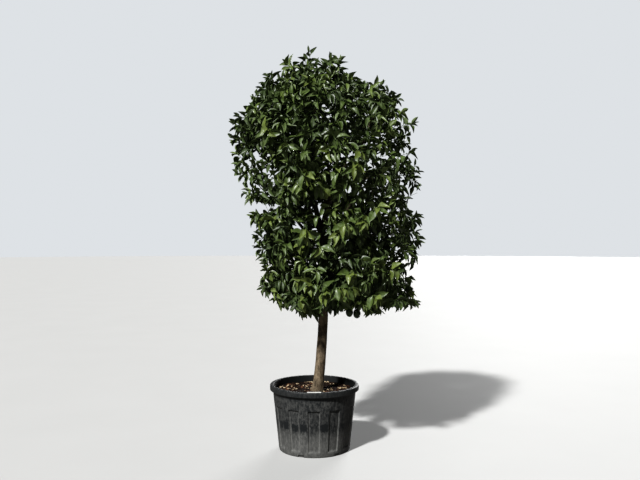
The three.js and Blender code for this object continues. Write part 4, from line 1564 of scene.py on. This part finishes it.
def build_stalks():
    """Stalks from the nearest twig, with five sepals each."""
    points = []
    faces = []
    rise = Vector((0, 0, SEPAL_RISE))
    twig_spots = [spot for twig in all_twigs for spot in twig["line"]]
    for place in map(Vector, FRUIT_PLACES):
        top = place + Vector((0, 0, FRUIT_RADIUS * FRUIT_STRETCH - STALK_SUNK))
        above = top + Vector((0, 0, STALK_LENGTH))
        hold = min(twig_spots, key=lambda spot: (spot - above).length)
        line = curve_line((hold, above, top), STALK_STEPS)
        faces += skin_faces(len(line), STALK_SIDES, len(points))
        points += limb_rings(line, [STALK_RADIUS] * len(line), STALK_SIDES, lumps=0.05, cracks=0.0)
        for angle in ring_angles(SEPALS):
            out = Vector(polar(1, angle))
            side = Vector((-out.y, out.x, 0)) * SEPAL_HALF_WIDTH
            faces += shifted(((0, 1, 2), (1, 0, 3), (0, 2, 3), (2, 1, 3)), len(points))
            points += [top + side + rise, top - side + rise]
            points += [top + out * SEPAL_LENGTH - rise * 0.2, top + out * 0.003 - rise]
    return add_mesh("fruit_stalks", points, faces)


def rind_material():
    material, shader, where = new_material("green_rind", Specular_IOR_Level=0.5)
    glands = Node(where.tree, "ShaderNodeTexVoronoi", {"Vector": where, "Scale": 620.0})["Distance"]
    color = blend_colors(spread(noise_at(where, 30.0), 0.4, 0.7), *FRUIT_GREENS)
    fill(shader, {"Base Color": color, "Roughness": spread(glands, 0.0, 0.6, 0.5, 0.34)})
    bump(shader, glands, 0.3, 0.0008)
    return material


fruit = build_fruit()
fruit.data.materials.append(rind_material())
stalks = build_stalks()
stalks.data.materials.append(bpy.data.materials["young_bark"])
for piece in (fruit, stalks):
    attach(piece, "root")


# The studio: a pale floor without an edge in view, a strong small lamp from the upper left in front, a wide
# weak one low at the back right, an even pale surround, and a camera at eye height in front of the pot.
FLOOR_RADIUS = 60.0
FLOOR_SIDES = 96
FLOOR_PALE = ((0.55, 0.55, 0.54, 1), (0.58, 0.58, 0.57, 1))
FLOOR_BOUNCE = (0.17, 0.165, 0.155, 1)
SURROUND = (0.80, 0.83, 0.86, 1)
SURROUND_STRENGTH = 0.075
BACKDROP_STRENGTH = 0.78
# Each lamp's way, the angle it is seen under and its strength
LAMPS = {"key": ((0.6, 1.0, -1.05), 4.0, 4.4), "fill": ((-0.35, -1.0, -0.22), 28.0, 2.3)}
CAMERA_PLACE = (0.039, -4.860, 1.460)
FOCAL_PIXELS = 690
FRAME_WIDTH = 640
SENSOR_WIDTH = 36.0


def floor_material():
    """Pale to look at. It throws back as little light on the tree as open paving does."""
    material, shader, where = new_material("pale_floor", Roughness=0.75, Specular_IOR_Level=0.25)
    seen = Node(where.tree, "ShaderNodeLightPath")["Is Camera Ray"]
    pale = blend_colors(noise_at(where, 1.3, 4.0), *FLOOR_PALE)
    fill(shader, {"Base Color": blend_colors(seen, FLOOR_BOUNCE, pale)})
    return material


def add_lamp(name, way, angle, strength):
    """A far round lamp, wide enough for soft-edged shadows."""
    light = bpy.data.lights.new(name, "SUN")
    light.angle = math.radians(angle)
    light.energy = strength
    add_object(name, light).rotation_euler = Vector(way).to_track_quat("-Z", "Y").to_euler()


def add_camera():
    camera = bpy.data.cameras.new("camera")
    camera.sensor_width = SENSOR_WIDTH
    camera.lens = FOCAL_PIXELS * SENSOR_WIDTH / FRAME_WIDTH
    holder = add_object("camera", camera)
    holder.location = CAMERA_PLACE
    holder.rotation_euler = (math.pi / 2, 0, 0)
    bpy.context.scene.camera = holder


def light_surround():
    """A dim even light from all round. The camera sees it as a paler backdrop."""
    world = bpy.data.worlds.new("surround")
    world.use_nodes = True
    seen = Node(world.node_tree, "ShaderNodeLightPath")["Is Camera Ray"]
    strength = spread(seen, 0, 1, SURROUND_STRENGTH, BACKDROP_STRENGTH)
    fill(world.node_tree.nodes["Background"], {"Color": SURROUND, "Strength": strength})
    bpy.context.scene.world = world


floor_edge = [polar(FLOOR_RADIUS, angle) for angle in ring_angles(FLOOR_SIDES)]
floor = add_mesh("floor", floor_edge, [tuple(range(FLOOR_SIDES))])
floor.data.materials.append(floor_material())
for name, lamp in LAMPS.items():
    add_lamp(name, *lamp)
add_camera()
light_surround()
bpy.context.scene.view_settings.view_transform = "Standard"
bpy.context.scene.view_settings.look = "Medium High Contrast"
